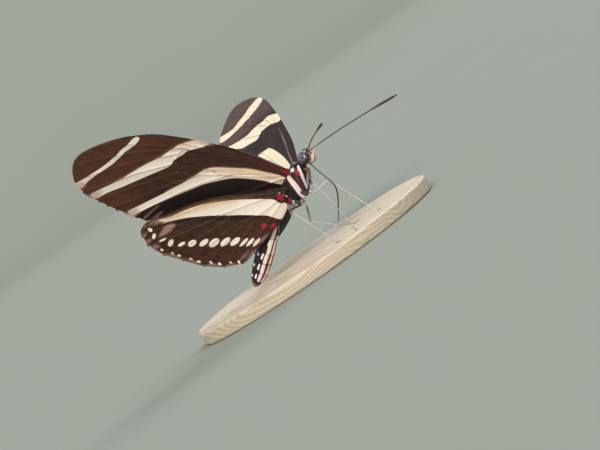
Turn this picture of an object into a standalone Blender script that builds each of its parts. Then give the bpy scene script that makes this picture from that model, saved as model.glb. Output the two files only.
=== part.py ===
"""Zebra longwing butterfly, a still life-size model on a flat display base.

Lengths are in millimetres here and become metres when a mesh is made.

The butterfly is drawn in body axes: +X to the head, +Y to its left, +Z to its
back, with the origin in the middle of the thorax. The empty called stance
tips it up and over to the pose it stands in. The base, and the finished model,
use the origin at the centre of the base's underside, with +Z up.
"""

import math

import bmesh
import bpy
import numpy as np
from mathutils import Matrix, Vector
from mathutils.geometry import delaunay_2d_cdt

MM = 0.001
GAP = 0.3
WELD = 0.0001 * MM

# Pose on the base
BASE_RADIUS = 28.0
BASE_THICK = 3.0
BASE_EDGE = 0.5
FOOT_LEVEL = BASE_THICK + GAP
THORAX_AT = Vector((9.0, -5.0, FOOT_LEVEL + 14.1))
HEAD_UP = 33.0
LEAN_LEFT = 13.5

# Body stations: distance forward, height of the middle, half depth, half width
THORAX = [(4.6, -0.55, 0.80, 0.80), (3.7, -0.15, 1.45, 1.45), (2.0, -0.10, 2.30, 2.10),
          (0.0, -0.50, 3.00, 2.35), (-2.0, -0.65, 3.05, 2.30), (-3.5, -0.35, 2.55, 2.00),
          (-4.7, 0.30, 1.75, 1.60), (-5.4, 0.70, 1.05, 1.05)]
ABDOMEN = [(-5.7, 0.75, 0.95, 0.95), (-7.5, 1.15, 1.15, 1.15), (-10.0, 1.35, 1.40, 1.35),
           (-13.0, 0.85, 1.90, 1.70), (-16.6, 0.60, 2.10, 1.85), (-19.5, 0.45, 2.10, 1.80),
           (-21.8, 0.30, 1.90, 1.60), (-23.6, 0.30, 1.40, 1.25), (-24.8, 0.25, 0.75, 0.75)]
ABDOMEN_RINGS = 7
RING_STEP = 0.10
HEAD = [(4.9, -0.60, 0.80, 0.80), (5.3, -0.85, 1.25, 1.10), (6.0, -1.00, 1.55, 1.25),
        (6.8, -1.15, 1.40, 1.05), (7.3, -1.20, 0.95, 0.75), (7.55, -1.20, 0.45, 0.45)]
EYE_AT = (6.15, 1.05, -0.95)
EYE_HALF = (1.25, 0.95, 1.25)
EYE_INNER_FACE = 0.50
BODY_SIDES = 24

# Head parts. The palps and antenna roots are drawn on the left side, and each
# antenna then has a bend and a tip of its own.
ANTENNA_ROOT = [(6.7, 0.40, -0.40), (7.50, 0.55, -0.80)]
ANTENNA_REACH = {"left": [(12.1, 4.6, -2.9), (18.4, 10.2, -6.4), (21.9, 13.0, -8.6)],
                 "right": [(12.1, 4.6, -2.9), (17.6, 10.2, -6.3), (20.3, 13.0, -8.1)]}
ANTENNA_RADIUS = 0.25
ANTENNA_CLUB = 0.42
CLUB_FROM = 0.86
PALP = [(5.7, 0.35, -1.9), (6.1, 0.36, -2.60), (7.0, 0.36, -2.60), (7.75, 0.35, -2.10),
        (8.0, 0.33, -1.45)]
PALP_RADII = (0.30, 0.30, 0.30, 0.30, 0.18)
PROBOSCIS = [(5.3, 0.0, -1.9), (4.9, 0.0, -3.6), (4.4, 0.0, -6.6), (3.9, 0.0, -8.8),
             (2.4, 0.0, -10.2), (0.0, 0.0, -11.3), (-2.4, 0.0, -12.3)]
PROBOSCIS_RADIUS = 0.27

# Legs: coxa start, hip, knee and ankle in body axes, then the toe as forward and
# left of the base's centre. The forelegs are small and folded to the chest.
LEGS = {
    "midleg_right": [(-0.5, -0.8, -2.6), (-0.5, -1.3, -4.5), (3.6, -3.2, -4.9), (2.5, -4.1, -11.4),
                     (18.6, -13.6)],
    "midleg_left": [(-0.5, 0.8, -2.6), (-0.5, 1.3, -4.5), (2.0, 4.5, -4.9), (0.95, 6.3, -10.3),
                    (20.0, -2.7)],
    "hindleg_right": [(-3.0, -0.8, -2.2), (-3.0, -1.2, -4.0), (-3.2, -5.6, -4.1), (-3.3, -6.0, -9.9),
                      (14.4, -14.5)],
    "hindleg_left": [(-3.2, 0.8, -2.0), (-3.6, 1.3, -3.7), (-7.4, 3.2, -5.0), (-6.3, 6.2, -9.6),
                     (11.6, 3.4)],
}
TOE_FLAT = 1.6
FEMUR_RADIUS = 0.34
SHANK_RADIUS = 0.27
TARSUS_RADIUS = 0.26
FORELEG = [(3.3, 0.5, -1.0), (4.0, 0.6, -2.0), (3.1, 0.6, -2.75), (2.1, 0.6, -3.25), (1.3, 0.6, -3.7)]
FORELEG_RADII = (0.28, 0.28, 0.28, 0.25, 0.18)

# Wings, drawn flat on the right side: along the span, then forward of the span
WING_HALF = 0.25
VEIN_RISE = 0.15
VEIN_HALF = 0.30
OUTLINE_STEP = 1.3
VEIN_STEP = 2.2


class Wing:
    """A wing's root, the angles of its span and chord, its outline and its veins."""

    def __init__(self, root, dihedral, sweep, twist, rise, outline, veins):
        self.root = Vector(root)
        up, back = math.radians(dihedral), math.radians(sweep)
        self.span = Vector((-math.sin(back), -math.cos(back) * math.cos(up),
                            math.cos(back) * math.sin(up)))
        ahead = Vector((1, 0, 0)) - self.span * self.span.x
        self.lead = Matrix.Rotation(math.radians(twist), 3, self.span) @ ahead.normalized()
        self.normal = self.span.cross(self.lead)
        self.rise = rise
        self.outline = outline
        self.veins = veins

    def place(self, span, lead, height):
        """A point of the right wing in body axes, height above its curved mid surface."""
        return (self.root + self.span * span + self.lead * lead
                + self.normal * (self.rise(span) + height))


def arch(span, length=43.0, depth=0.5):
    """The forewing's low arch from root to tip."""
    return depth * math.sin(math.pi * min(max(span / length, 0.0), 1.0))


def fold(span, depth=0.8, width=3.5):
    """The hindwing's inner edge, bent down beside the abdomen."""
    return -depth * math.exp(-(span / width) ** 2)


FOREWING = Wing(
    root=(1.5, -1.8, 1.0), dihedral=52.5, sweep=16.0, twist=-11.0, rise=arch,
    outline=[(0.0, 0.9), (3.6, 3.0), (7.8, 5.0), (15.6, 7.2), (22.5, 8.6), (27.5, 9.1), (33.4, 8.2),
             (39.3, 5.7), (42.2, 3.2), (42.9, -0.1), (41.9, -4.1), (39.3, -6.7), (35.3, -9.3),
             (31.3, -11.3), (27.0, -12.9), (20.0, -11.7), (13.0, -9.6), (7.0, -7.0), (2.6, -4.2),
             (0.0, -1.4)],
    veins=[[(0.3, 0.6), (8.0, 3.8), (18.0, 6.3), (26.5, 8.6)],
           [(0.3, 0.2), (8.0, 2.9), (16.0, 4.9), (21.0, 5.6), (29.0, 6.6), (36.5, 6.7)],
           [(21.0, 5.6), (31.0, 4.6), (41.6, 1.9)],
           [(21.0, 5.6), (22.2, 3.2), (21.0, 0.0), (17.5, -0.6), (8.0, -0.8), (0.3, -0.5)],
           [(22.0, 4.4), (31.0, 2.2), (41.9, -2.0)],
           [(22.2, 2.2), (31.0, -0.9), (40.4, -5.2)],
           [(21.0, 0.0), (29.0, -3.2), (37.9, -7.2)],
           [(17.5, -0.6), (26.0, -4.6), (34.6, -9.3)],
           [(12.0, -0.7), (20.0, -4.4), (30.6, -11.0)],
           [(0.3, -0.8), (7.0, -4.0), (16.0, -8.2), (25.6, -12.0)]])

HINDWING = Wing(
    root=(-0.5, -2.1, 0.4), dihedral=53.0, sweep=0.0, twist=0.0, rise=fold,
    outline=[(-0.4, -0.2), (2.6, -1.9), (10.0, -5.4), (16.0, -9.0), (21.9, -14.2), (24.2, -16.2),
             (24.8, -18.3), (23.9, -20.1), (22.3, -21.4), (20.8, -21.8), (19.0, -22.6), (17.0, -22.0),
             (15.0, -22.6), (12.7, -22.1), (10.6, -22.8), (8.4, -21.6), (6.5, -21.9), (5.0, -20.4),
             (3.6, -20.3), (2.2, -18.5), (1.2, -15.4), (0.3, -13.0), (-1.0, -9.7), (-1.8, -6.3),
             (-1.7, -3.0)],
    veins=[[(-0.2, -1.2), (5.0, -4.0), (13.0, -8.2), (23.4, -16.6)],
           [(-0.2, -1.6), (5.0, -5.6), (9.0, -9.0), (16.0, -13.6), (24.0, -18.9)],
           [(9.0, -9.0), (14.5, -14.6), (21.6, -21.0)],
           [(8.4, -10.6), (12.6, -15.8), (17.4, -21.9)],
           [(9.0, -9.0), (8.4, -10.6), (6.8, -11.6)],
           [(-0.3, -2.0), (3.0, -7.4), (6.8, -11.6), (10.0, -16.4), (13.2, -21.9)],
           [(4.9, -9.8), (7.4, -15.2), (9.6, -22.0)],
           [(3.0, -7.4), (4.6, -13.6), (6.1, -21.0)],
           [(-0.5, -2.4), (0.9, -8.4), (2.0, -13.6), (3.3, -19.0)]])


def curve_through(points, step, closed=False):
    """Points about step apart on a smooth Catmull-Rom curve through the given points."""
    knots = [Vector(p) for p in points]
    count = len(knots)
    spans = count if closed else count - 1
    result = []
    for i in range(spans):
        a, b = knots[i], knots[(i + 1) % count]
        before = knots[i - 1] if closed or i else a + (a - b)
        after = knots[(i + 2) % count] if closed or i + 2 < count else b + (b - a)
        pieces = max(1, round((b - a).length / step))
        for k in range(pieces):
            t = k / pieces
            result.append(0.5 * (2 * a + (b - before) * t + (2 * before - 5 * a + 4 * b - after) * t ** 2
                                 + (3 * a - before - 3 * b + after) * t ** 3))
    return result if closed else result + [knots[-1]]


def material(name, color, roughness):
    """A plain material of one colour."""
    made = bpy.data.materials.new(name)
    made.use_nodes = True
    shader = made.node_tree.nodes["Principled BSDF"]
    shader.inputs["Base Color"].default_value = (*color, 1)
    shader.inputs["Roughness"].default_value = roughness
    shader.inputs["Metallic"].default_value = 0.0
    return made


def new_object(name, bm, collection, parent=None, look=None):
    """An object with the mesh of bm, whose faces are turned outwards."""
    bmesh.ops.recalc_face_normals(bm, faces=bm.faces)
    mesh = bpy.data.meshes.new(name)
    bm.to_mesh(mesh)
    bm.free()
    mesh.shade_smooth()
    mesh.set_sharp_from_angle(angle=math.radians(40))
    obj = bpy.data.objects.new(name, mesh)
    collection.objects.link(obj)
    obj.parent = parent
    if look:
        mesh.materials.append(look)
    return obj


def loft(stations, sides=BODY_SIDES, grow=0.0, step=0.8):
    """A closed body of ellipses across X through the stations, grown by grow all round."""
    rings = curve_through([Vector(s) for s in stations], step)
    ahead = math.copysign(grow, rings[0][0] - rings[-1][0])
    turns = [2 * math.pi * k / sides for k in range(sides)]
    bm = bmesh.new()
    loops = []
    for i, (x, z, deep, wide) in enumerate(rings):
        x += ahead if i == 0 else -ahead if i == len(rings) - 1 else 0.0
        ring = [(x, (wide + grow) * math.sin(t), z + (deep + grow) * math.cos(t)) for t in turns]
        loops.append([bm.verts.new(Vector(p) * MM) for p in ring])
    for a, b in zip(loops, loops[1:]):
        for k in range(sides):
            bm.faces.new((a[k], a[(k + 1) % sides], b[(k + 1) % sides], b[k]))
    bm.faces.new(loops[0])
    bm.faces.new(loops[-1])
    return bm


def abdomen_stations():
    """The abdomen's stations with a small step where each ring overlaps the next."""
    smooth = curve_through([Vector(s) for s in ABDOMEN], 0.6)
    front, back = ABDOMEN[0][0], ABDOMEN[-1][0]
    rings = []
    for x, z, deep, wide in smooth:
        along = (x - front) / (back - front) * ABDOMEN_RINGS
        swell = RING_STEP * (along % 1.0) if 0.3 < along < ABDOMEN_RINGS - 0.3 else 0.0
        rings.append((x, z, deep + swell, wide + swell))
    return rings


def tube(name, points, radii, collection, look, parent=None, step=1.0):
    """A round tube along a smooth curve, as a mesh with its caps joined on."""
    rows = curve_through([Vector((*p, r)) for p, r in zip(points, radii)], step)
    data = bpy.data.curves.new(name, "CURVE")
    data.dimensions = "3D"
    data.bevel_depth = MM
    data.bevel_resolution = 2
    data.use_fill_caps = True
    spline = data.splines.new("POLY")
    spline.points.add(len(rows) - 1)
    for point, (x, y, z, radius) in zip(spline.points, rows):
        point.co = (x * MM, y * MM, z * MM, 1)
        point.radius = radius
    curve = bpy.data.objects.new(name + "_curve", data)
    collection.objects.link(curve)
    bpy.context.view_layer.update()
    solid = bpy.data.meshes.new_from_object(curve.evaluated_get(bpy.context.evaluated_depsgraph_get()))
    bpy.data.objects.remove(curve)
    bm = bmesh.new()
    bm.from_mesh(solid)
    bpy.data.meshes.remove(solid)
    bmesh.ops.remove_doubles(bm, verts=bm.verts, dist=WELD)
    return new_object(name, bm, collection, parent, look)


def ellipsoid(centre, half, inner_face, grow=0.0):
    """An eye: a sphere stretched to half, flattened on the side that faces the head's middle."""
    bm = bmesh.new()
    bmesh.ops.create_uvsphere(bm, u_segments=20, v_segments=14, radius=1.0)
    side = math.copysign(1, centre[1])
    for v in bm.verts:
        v.co = Vector([c + n * (h + grow) for c, n, h in zip(centre, v.co, half)])
        if v.co.y * side < inner_face - grow:
            v.co.y = side * (inner_face - grow)
    bmesh.ops.remove_doubles(bm, verts=bm.verts, dist=0.01)
    bmesh.ops.scale(bm, vec=(MM, MM, MM), verts=bm.verts)
    bmesh.ops.dissolve_degenerate(bm, dist=WELD, edges=bm.edges)
    return bm


def ridge(point, veins):
    """How far the membrane stands up at a flat point because of the nearest vein."""
    near = VEIN_HALF
    for line in veins:
        for a, b in zip(line, line[1:]):
            along = b - a
            t = min(max((point - a).dot(along) / along.length_squared, 0.0), 1.0)
            near = min(near, (point - a - along * t).length)
    return VEIN_RISE * (1.0 - near / VEIN_HALF)


def wing_mesh(wing, side):
    """A wing as one closed vane: the same triangles on both faces, with veins as ridges."""
    edge = curve_through(wing.outline, OUTLINE_STEP, closed=True)
    points, edges = list(edge), [(i, (i + 1) % len(edge)) for i in range(len(edge))]
    veins = [curve_through(v, VEIN_STEP) for v in wing.veins]
    for line in veins:
        headings = [(b - a).normalized() for a, b in zip(line, line[1:])]
        headings.append(headings[-1])
        for offset in (-VEIN_HALF, 0.0, VEIN_HALF):
            start = len(points)
            points += [p + Vector((-h.y, h.x)) * offset for p, h in zip(line, headings)]
            edges += [(start + i, start + i + 1) for i in range(len(line) - 1)]
    flat, _, triangles, *_ = delaunay_2d_cdt(points, edges, [], 1, 0.05, False)
    heights = [WING_HALF + ridge(p, veins) for p in flat]
    bm = bmesh.new()
    mirror = Vector((1, side, 1)) * MM
    faces = []
    for sign in (1, -1):
        verts = [bm.verts.new(wing.place(p.x, p.y, sign * h) * mirror) for p, h in zip(flat, heights)]
        faces.append(verts)
        for a, b, c in triangles:
            bm.faces.new([verts[i] for i in ((a, b, c) if sign > 0 else (a, c, b))])
    upper, lower = faces
    border = {}
    for a, b, c in triangles:
        for u, v in ((a, b), (b, c), (c, a)):
            if border.pop((v, u), None) is None:
                border[(u, v)] = True
    for u, v in border:
        bm.faces.new((upper[v], upper[u], lower[u]))
        bm.faces.new((upper[v], lower[u], lower[v]))
    loose = [v for v in bm.verts if not v.link_faces]
    bmesh.ops.delete(bm, geom=loose, context="VERTS")
    return bm


def keep_largest(bm):
    """Leaves only the closed surface that holds the most volume."""
    left, groups = set(bm.faces), []
    while left:
        stack, group = [left.pop()], []
        while stack:
            face = stack.pop()
            group.append(face)
            for other in (f for e in face.edges for f in e.link_faces if f in left):
                left.discard(other)
                stack.append(other)
        groups.append(group)
    groups.sort(key=lambda g: sum(f.calc_center_median().dot(f.normal) * f.calc_area() for f in g))
    for group in groups[:-1]:
        bmesh.ops.delete(bm, geom=group, context="FACES")


def cut_clear(obj, cutters):
    """Cuts an object back from each neighbour's grown copy and keeps the main piece."""
    for neighbour in cutters:
        cut = obj.modifiers.new("clear_of_" + neighbour.name, "BOOLEAN")
        cut.operation = "DIFFERENCE"
        cut.solver = "EXACT"
        cut.object = neighbour
    bpy.context.view_layer.update()
    shape = bpy.data.meshes.new_from_object(obj.evaluated_get(bpy.context.evaluated_depsgraph_get()))
    obj.modifiers.clear()
    bm = bmesh.new()
    bm.from_mesh(shape)
    bpy.data.meshes.remove(shape)
    bmesh.ops.remove_doubles(bm, verts=bm.verts, dist=WELD)
    keep_largest(bm)
    bm.to_mesh(obj.data)
    bm.free()


def add_cutter(name, bm, collection, parent):
    """A grown copy of a body part, hidden, that its neighbours are cut with."""
    obj = new_object(name, bm, collection, parent)
    obj.hide_render = True
    obj.display_type = "WIRE"
    return obj


def mirrored(point, side):
    """A point drawn on the left side, moved to the given side."""
    return (point[0], point[1] * side, point[2])


def add_base(collection, look):
    """The flat round base under the feet."""
    bm = bmesh.new()
    radius = BASE_RADIUS * MM
    bmesh.ops.create_cone(bm, cap_ends=True, segments=72, radius1=radius, radius2=radius,
                          depth=BASE_THICK * MM)
    base = new_object("stand_base", bm, collection, look=look)
    base.location.z = BASE_THICK * MM / 2
    edge = base.modifiers.new("soft_edge", "BEVEL")
    edge.width = BASE_EDGE * MM
    edge.segments = 2
    edge.limit_method = "ANGLE"
    return base


def add_antenna(label, side, collection, look, stance):
    """An antenna, thin as far as the club that ends it."""
    reach = curve_through(ANTENNA_ROOT + ANTENNA_REACH[label], 1.5)
    radii = []
    for k in range(len(reach)):
        club = (k / (len(reach) - 1) - CLUB_FROM) / (1 - CLUB_FROM)
        radii.append(ANTENNA_RADIUS + (ANTENNA_CLUB - ANTENNA_RADIUS) * min(max(2 * club, 0.0), 1.0))
    radii[-1] = ANTENNA_RADIUS
    path = [mirrored(p, side) for p in reach]
    return tube("antenna_" + label, path, radii, collection, look, stance, 2.0)


def add_leg(name, joints, collection, look, stance):
    """A leg from its coxa to a toe that lies flat at the foot level."""
    *upper, toe = joints
    coxa, hip, knee, ankle = (stance @ (Vector(p) * MM) / MM for p in upper)
    toe = Vector((*toe, FOOT_LEVEL + TARSUS_RADIUS))
    heel = toe + (ankle - toe).normalized() * TOE_FLAT
    heel.z = toe.z
    points = [coxa, hip, hip.lerp(knee, 0.5), knee, knee.lerp(ankle, 0.5), ankle,
              ankle.lerp(heel, 0.6), heel, toe]
    radii = [FEMUR_RADIUS] * 3 + [SHANK_RADIUS] * 3 + [TARSUS_RADIUS] * 3
    leg = tube(name, points, radii, collection, look)
    floor = FOOT_LEVEL * MM
    for v in leg.data.vertices:
        v.co.z = max(v.co.z, floor)
    return leg


def build():
    """Models the butterfly and its base."""
    for obj in list(bpy.data.objects):
        bpy.data.objects.remove(obj)
    parts = bpy.data.collections.new("zebra_longwing")
    cutters = bpy.data.collections.new("cutters")
    for collection in (parts, cutters):
        bpy.context.scene.collection.children.link(collection)
    stance = bpy.data.objects.new("stance", None)
    parts.objects.link(stance)
    stance.location = THORAX_AT * MM
    stance.rotation_euler = (Matrix.Rotation(math.radians(-HEAD_UP), 3, "Y")
                             @ Matrix.Rotation(math.radians(-LEAN_LEFT), 3, "X")).to_euler()
    bpy.context.view_layer.update()

    skin = material("body_scales", (0.035, 0.022, 0.018), 0.7)
    pale = material("pale_scales", (0.62, 0.50, 0.40), 0.7)
    dark = material("wing_scales", (0.045, 0.018, 0.010), 0.6)
    eye_look = material("eye", (0.05, 0.04, 0.06), 0.2)
    horn = material("chitin", (0.05, 0.035, 0.03), 0.45)
    wood = material("limed_beech", (0.62, 0.52, 0.40), 0.5)

    add_base(parts, wood)
    near_thorax = add_cutter("thorax_clearance", loft(THORAX, grow=GAP), cutters, stance)
    near_head = add_cutter("head_clearance", loft(HEAD, grow=GAP), cutters, stance)
    near_abdomen = add_cutter("abdomen_clearance", loft(abdomen_stations(), grow=GAP), cutters, stance)

    new_object("thorax", loft(THORAX), parts, stance, skin)
    new_object("abdomen", loft(abdomen_stations()), parts, stance, skin)
    head = new_object("head", loft(HEAD, step=0.4), parts, stance, skin)
    sockets = []
    for side, label in ((1, "left"), (-1, "right")):
        at = mirrored(EYE_AT, side)
        new_object("eye_" + label, ellipsoid(at, EYE_HALF, EYE_INNER_FACE), parts, stance, eye_look)
        socket = ellipsoid(at, EYE_HALF, EYE_INNER_FACE, GAP)
        sockets.append(add_cutter("socket_" + label, socket, cutters, stance))
    cut_clear(head, sockets)

    for side, label in ((1, "left"), (-1, "right")):
        antenna = add_antenna(label, side, parts, horn, stance)
        cut_clear(antenna, [near_head] + sockets)
        path = [mirrored(p, side) for p in PALP]
        palp = tube("palp_" + label, path, PALP_RADII, parts, pale, stance, 0.6)
        cut_clear(palp, [near_head] + sockets)
        path = [mirrored(p, side) for p in FORELEG]
        foreleg = tube("foreleg_" + label, path, FORELEG_RADII, parts, skin, stance, 0.6)
        cut_clear(foreleg, [near_thorax, near_head])
        for name, wing in (("forewing_", FOREWING), ("hindwing_", HINDWING)):
            vane = new_object(name + label, wing_mesh(wing, -side), parts, stance, dark)
            cut_clear(vane, [near_thorax, near_abdomen])
    proboscis = tube("proboscis", PROBOSCIS, [PROBOSCIS_RADIUS] * len(PROBOSCIS), parts, horn, stance)
    cut_clear(proboscis, [near_head])
    for name, joints in LEGS.items():
        cut_clear(add_leg(name, joints, parts, pale, stance.matrix_world), [near_thorax])


build()
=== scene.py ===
"""Looks of a life-size zebra longwing butterfly model on a round beech base.

Lengths are in millimetres and become metres when a mesh is made. The butterfly is drawn in
body axes: +X to its head, +Y to its left, +Z to its back, with the origin in the middle of
the thorax. STANCE sets those axes on the base, whose underside is at the world's origin.
Wings are drawn flat, along the span and forward of it, and places on the body are given as
the distance forward and the angle round from the middle of the back.
"""

import logging
import math
from dataclasses import dataclass, field
from enum import Enum
from functools import partial
from typing import Callable, Sequence

import bmesh
import bpy
import numpy as np
from mathutils import Matrix, Vector
from mathutils.geometry import delaunay_2d_cdt

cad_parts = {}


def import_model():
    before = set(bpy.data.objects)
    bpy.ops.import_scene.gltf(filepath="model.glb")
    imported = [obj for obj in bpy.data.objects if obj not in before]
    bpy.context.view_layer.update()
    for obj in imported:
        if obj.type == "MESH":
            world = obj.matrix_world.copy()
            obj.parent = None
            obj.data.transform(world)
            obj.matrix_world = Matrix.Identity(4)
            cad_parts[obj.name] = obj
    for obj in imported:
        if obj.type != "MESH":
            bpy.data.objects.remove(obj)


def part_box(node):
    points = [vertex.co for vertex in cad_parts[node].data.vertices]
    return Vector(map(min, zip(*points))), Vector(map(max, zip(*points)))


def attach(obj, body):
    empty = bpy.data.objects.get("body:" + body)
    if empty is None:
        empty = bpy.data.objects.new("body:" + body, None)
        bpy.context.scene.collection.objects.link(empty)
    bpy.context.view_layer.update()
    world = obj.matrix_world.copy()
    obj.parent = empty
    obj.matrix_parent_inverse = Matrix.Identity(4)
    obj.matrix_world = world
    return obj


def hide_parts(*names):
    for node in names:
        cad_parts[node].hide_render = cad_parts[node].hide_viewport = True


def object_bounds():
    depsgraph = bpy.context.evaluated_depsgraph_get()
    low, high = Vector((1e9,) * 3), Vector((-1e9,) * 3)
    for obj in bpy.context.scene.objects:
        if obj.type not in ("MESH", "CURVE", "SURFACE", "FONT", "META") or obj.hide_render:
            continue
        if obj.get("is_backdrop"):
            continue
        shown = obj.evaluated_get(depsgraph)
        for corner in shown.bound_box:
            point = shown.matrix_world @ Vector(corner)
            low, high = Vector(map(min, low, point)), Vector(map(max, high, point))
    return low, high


LOG = logging.getLogger("zebra_longwing")
MM = 0.001
SEED = 20260
SIDES = {"left": 1, "right": -1}
# The value of a marking well outside its edge.
FAR_OUTSIDE = -5.0
# The side of one tuft's patch on the bake map.
BAKE_PATCH = 0.003
# How far the pattern of scales is moved on a wing's under face, so that it differs.
UNDER_LAY = 40.0

Array = np.ndarray
Rng = np.random.Generator
Point = Sequence[float]
Flat = tuple[float, float]


class Slot(Enum):
    """The record's material slots."""

    BODY = "body"
    WING = "wing"
    EYE = "eye"
    PALE = "pale_scales"
    LEG = "leg"
    HORN = "horn"
    BASE = "base"


class Tint(Enum):
    """The markings, each kept on a mesh as millimetres inside its edge."""

    CREAM = "cream"
    PEACH = "peach"
    GOLD = "gold"
    RED = "red"
    BLACK = "black"
    HAZE = "haze"
    ROSE = "rose"
    WINE = "wine"
    BROWN = "brown"
    VEIN = "vein"


def curve_through(points: Sequence[Point], step: float, closed: bool = False) -> Array:
    """Points about step apart on a smooth Catmull-Rom curve.

    Args:
        points: The points that the curve passes through.
        step: The wished distance between the points returned.
        closed: Whether the curve comes back to its first point.

    Returns:
        The points on the curve, one a row.
    """
    knots = np.asarray(points, float)
    count = len(knots)
    rows = []
    for i in range(count if closed else count - 1):
        a, b = knots[i], knots[(i + 1) % count]
        before = knots[i - 1] if closed or i else 2 * a - b
        after = knots[(i + 2) % count] if closed or i + 2 < count else 2 * b - a
        pieces = max(1, round(float(np.linalg.norm(b - a)) / step))
        t = (np.arange(pieces) / pieces)[:, None]
        rows.append(0.5 * (2 * a + (b - before) * t + (2 * before - 5 * a + 4 * b - after) * t ** 2
                           + (3 * a - before - 3 * b + after) * t ** 3))
    if not closed:
        rows.append(knots[-1:])
    return np.vstack(rows)


def way_along(points: Array) -> Array:
    """The way from the first point of a path to each of its points."""
    return np.concatenate([[0.0], np.cumsum(np.linalg.norm(np.diff(points, axis=0), axis=1))])


def line_distance(points: Array, line: Array) -> tuple[Array, Array]:
    """Distance from points to a line of straight pieces.

    Args:
        points: The points, one a row.
        line: The line's points, one a row.

    Returns:
        Each point's distance, and the share of the line's length at its nearest spot.
    """
    gap = np.full(len(points), np.inf)
    share = np.zeros(len(points))
    ends = way_along(line)
    for i, (a, b) in enumerate(zip(line, line[1:])):
        way = b - a
        t = np.clip((points - a) @ way / max(float(way @ way), 1e-12), 0.0, 1.0)
        found = np.linalg.norm(points - a - t[:, None] * way, axis=1)
        closer = found < gap
        gap[closer] = found[closer]
        share[closer] = (ends[i] + t[closer] * (ends[i + 1] - ends[i])) / max(ends[-1], 1e-12)
    return gap, share


def depth_inside(points: Array, ring: Array) -> Array:
    """How far points on a plane lie inside a closed outline.

    Args:
        points: The points, one a row.
        ring: The outline's points, one a row.

    Returns:
        Each point's distance from the outline, negative outside it.
    """
    loop = np.vstack([ring, ring[:1]])
    gap, _ = line_distance(points, loop)
    inside = np.zeros(len(points), bool)
    for a, b in zip(loop, loop[1:]):
        if a[1] == b[1]:
            continue
        crosses = (a[1] > points[:, 1]) != (b[1] > points[:, 1])
        inside ^= crosses & (points[:, 0] < a[0] + (points[:, 1] - a[1]) * (b[0] - a[0]) / (b[1] - a[1]))
    return np.where(inside, gap, -gap)


def unit(vectors: Array) -> Array:
    """The vectors at length one."""
    return vectors / np.maximum(np.linalg.norm(vectors, axis=-1, keepdims=True), 1e-12)


def smooth_step(values: Array) -> Array:
    """0 below 0, 1 above 1 and a smooth rise between."""
    t = np.clip(values, 0.0, 1.0)
    return t * t * (3 - 2 * t)


def no_marks(count: int) -> dict[str, Array]:
    """Values that put points outside every marking."""
    return {tint.value: np.full(count, FAR_OUTSIDE) for tint in Tint}


def linear(code: str) -> tuple[float, float, float, float]:
    """An sRGB colour such as "#f6e6d2" as the linear values that a shader takes."""
    parts = [int(code[i:i + 2], 16) / 255 for i in (1, 3, 5)]
    red, green, blue = (c / 12.92 if c <= 0.04045 else ((c + 0.055) / 1.055) ** 2.4 for c in parts)
    return (red, green, blue, 1.0)


@dataclass(frozen=True)
class Stance:
    """How the butterfly's body axes stand on the base."""

    thorax_at: Point = (9.0, -5.0, 17.4)
    head_up: float = 33.0
    lean_left: float = 13.5

    def turn(self) -> Array:
        """The rotation from body axes to the world's."""
        pitch = Matrix.Rotation(math.radians(-self.head_up), 3, "Y")
        return np.array(pitch @ Matrix.Rotation(math.radians(-self.lean_left), 3, "X"))

    def to_world(self, points: Array) -> Array:
        """Body points as world points, both in millimetres."""
        return np.asarray(points, float) @ self.turn().T + np.array(self.thorax_at)

    def to_body(self, points: Array) -> Array:
        """World points as body points, both in millimetres."""
        return (np.asarray(points, float) - np.array(self.thorax_at)) @ self.turn()


STANCE = Stance()


@dataclass
class Form:
    """Points and triangles in body axes that become one object, with values at the points."""

    points: Array
    faces: Array
    values: dict[str, Array] = field(default_factory=dict)
    slots: Array | None = None
    bake: Array | None = None

    def mirrored(self) -> "Form":
        """The same form on the body's other side, with its faces still outwards."""
        return Form(self.points * (1, -1, 1), self.faces[:, ::-1], self.values, self.slots, self.bake)


def joined(forms: Sequence[Form]) -> Form:
    """Joins several forms.

    Args:
        forms: The forms.

    Returns:
        One form. A value that one of them lacks is set far outside there.
    """
    start = np.cumsum([0] + [len(f.points) for f in forms[:-1]])
    names = {name for f in forms for name in f.values}
    values = {}
    for name in names:
        shape = next(f.values[name].shape[1:] for f in forms if name in f.values)
        values[name] = np.concatenate([
            f.values.get(name, np.full((len(f.points), *shape), FAR_OUTSIDE)) for f in forms])
    slots = None
    if any(f.slots is not None for f in forms):
        slots = np.concatenate([np.zeros(len(f.faces), int) if f.slots is None else f.slots for f in forms])
    bake = None if any(f.bake is None for f in forms) else np.vstack([f.bake for f in forms])
    return Form(np.vstack([f.points for f in forms]),
                np.vstack([f.faces + s for f, s in zip(forms, start)]), values, slots, bake)


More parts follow.
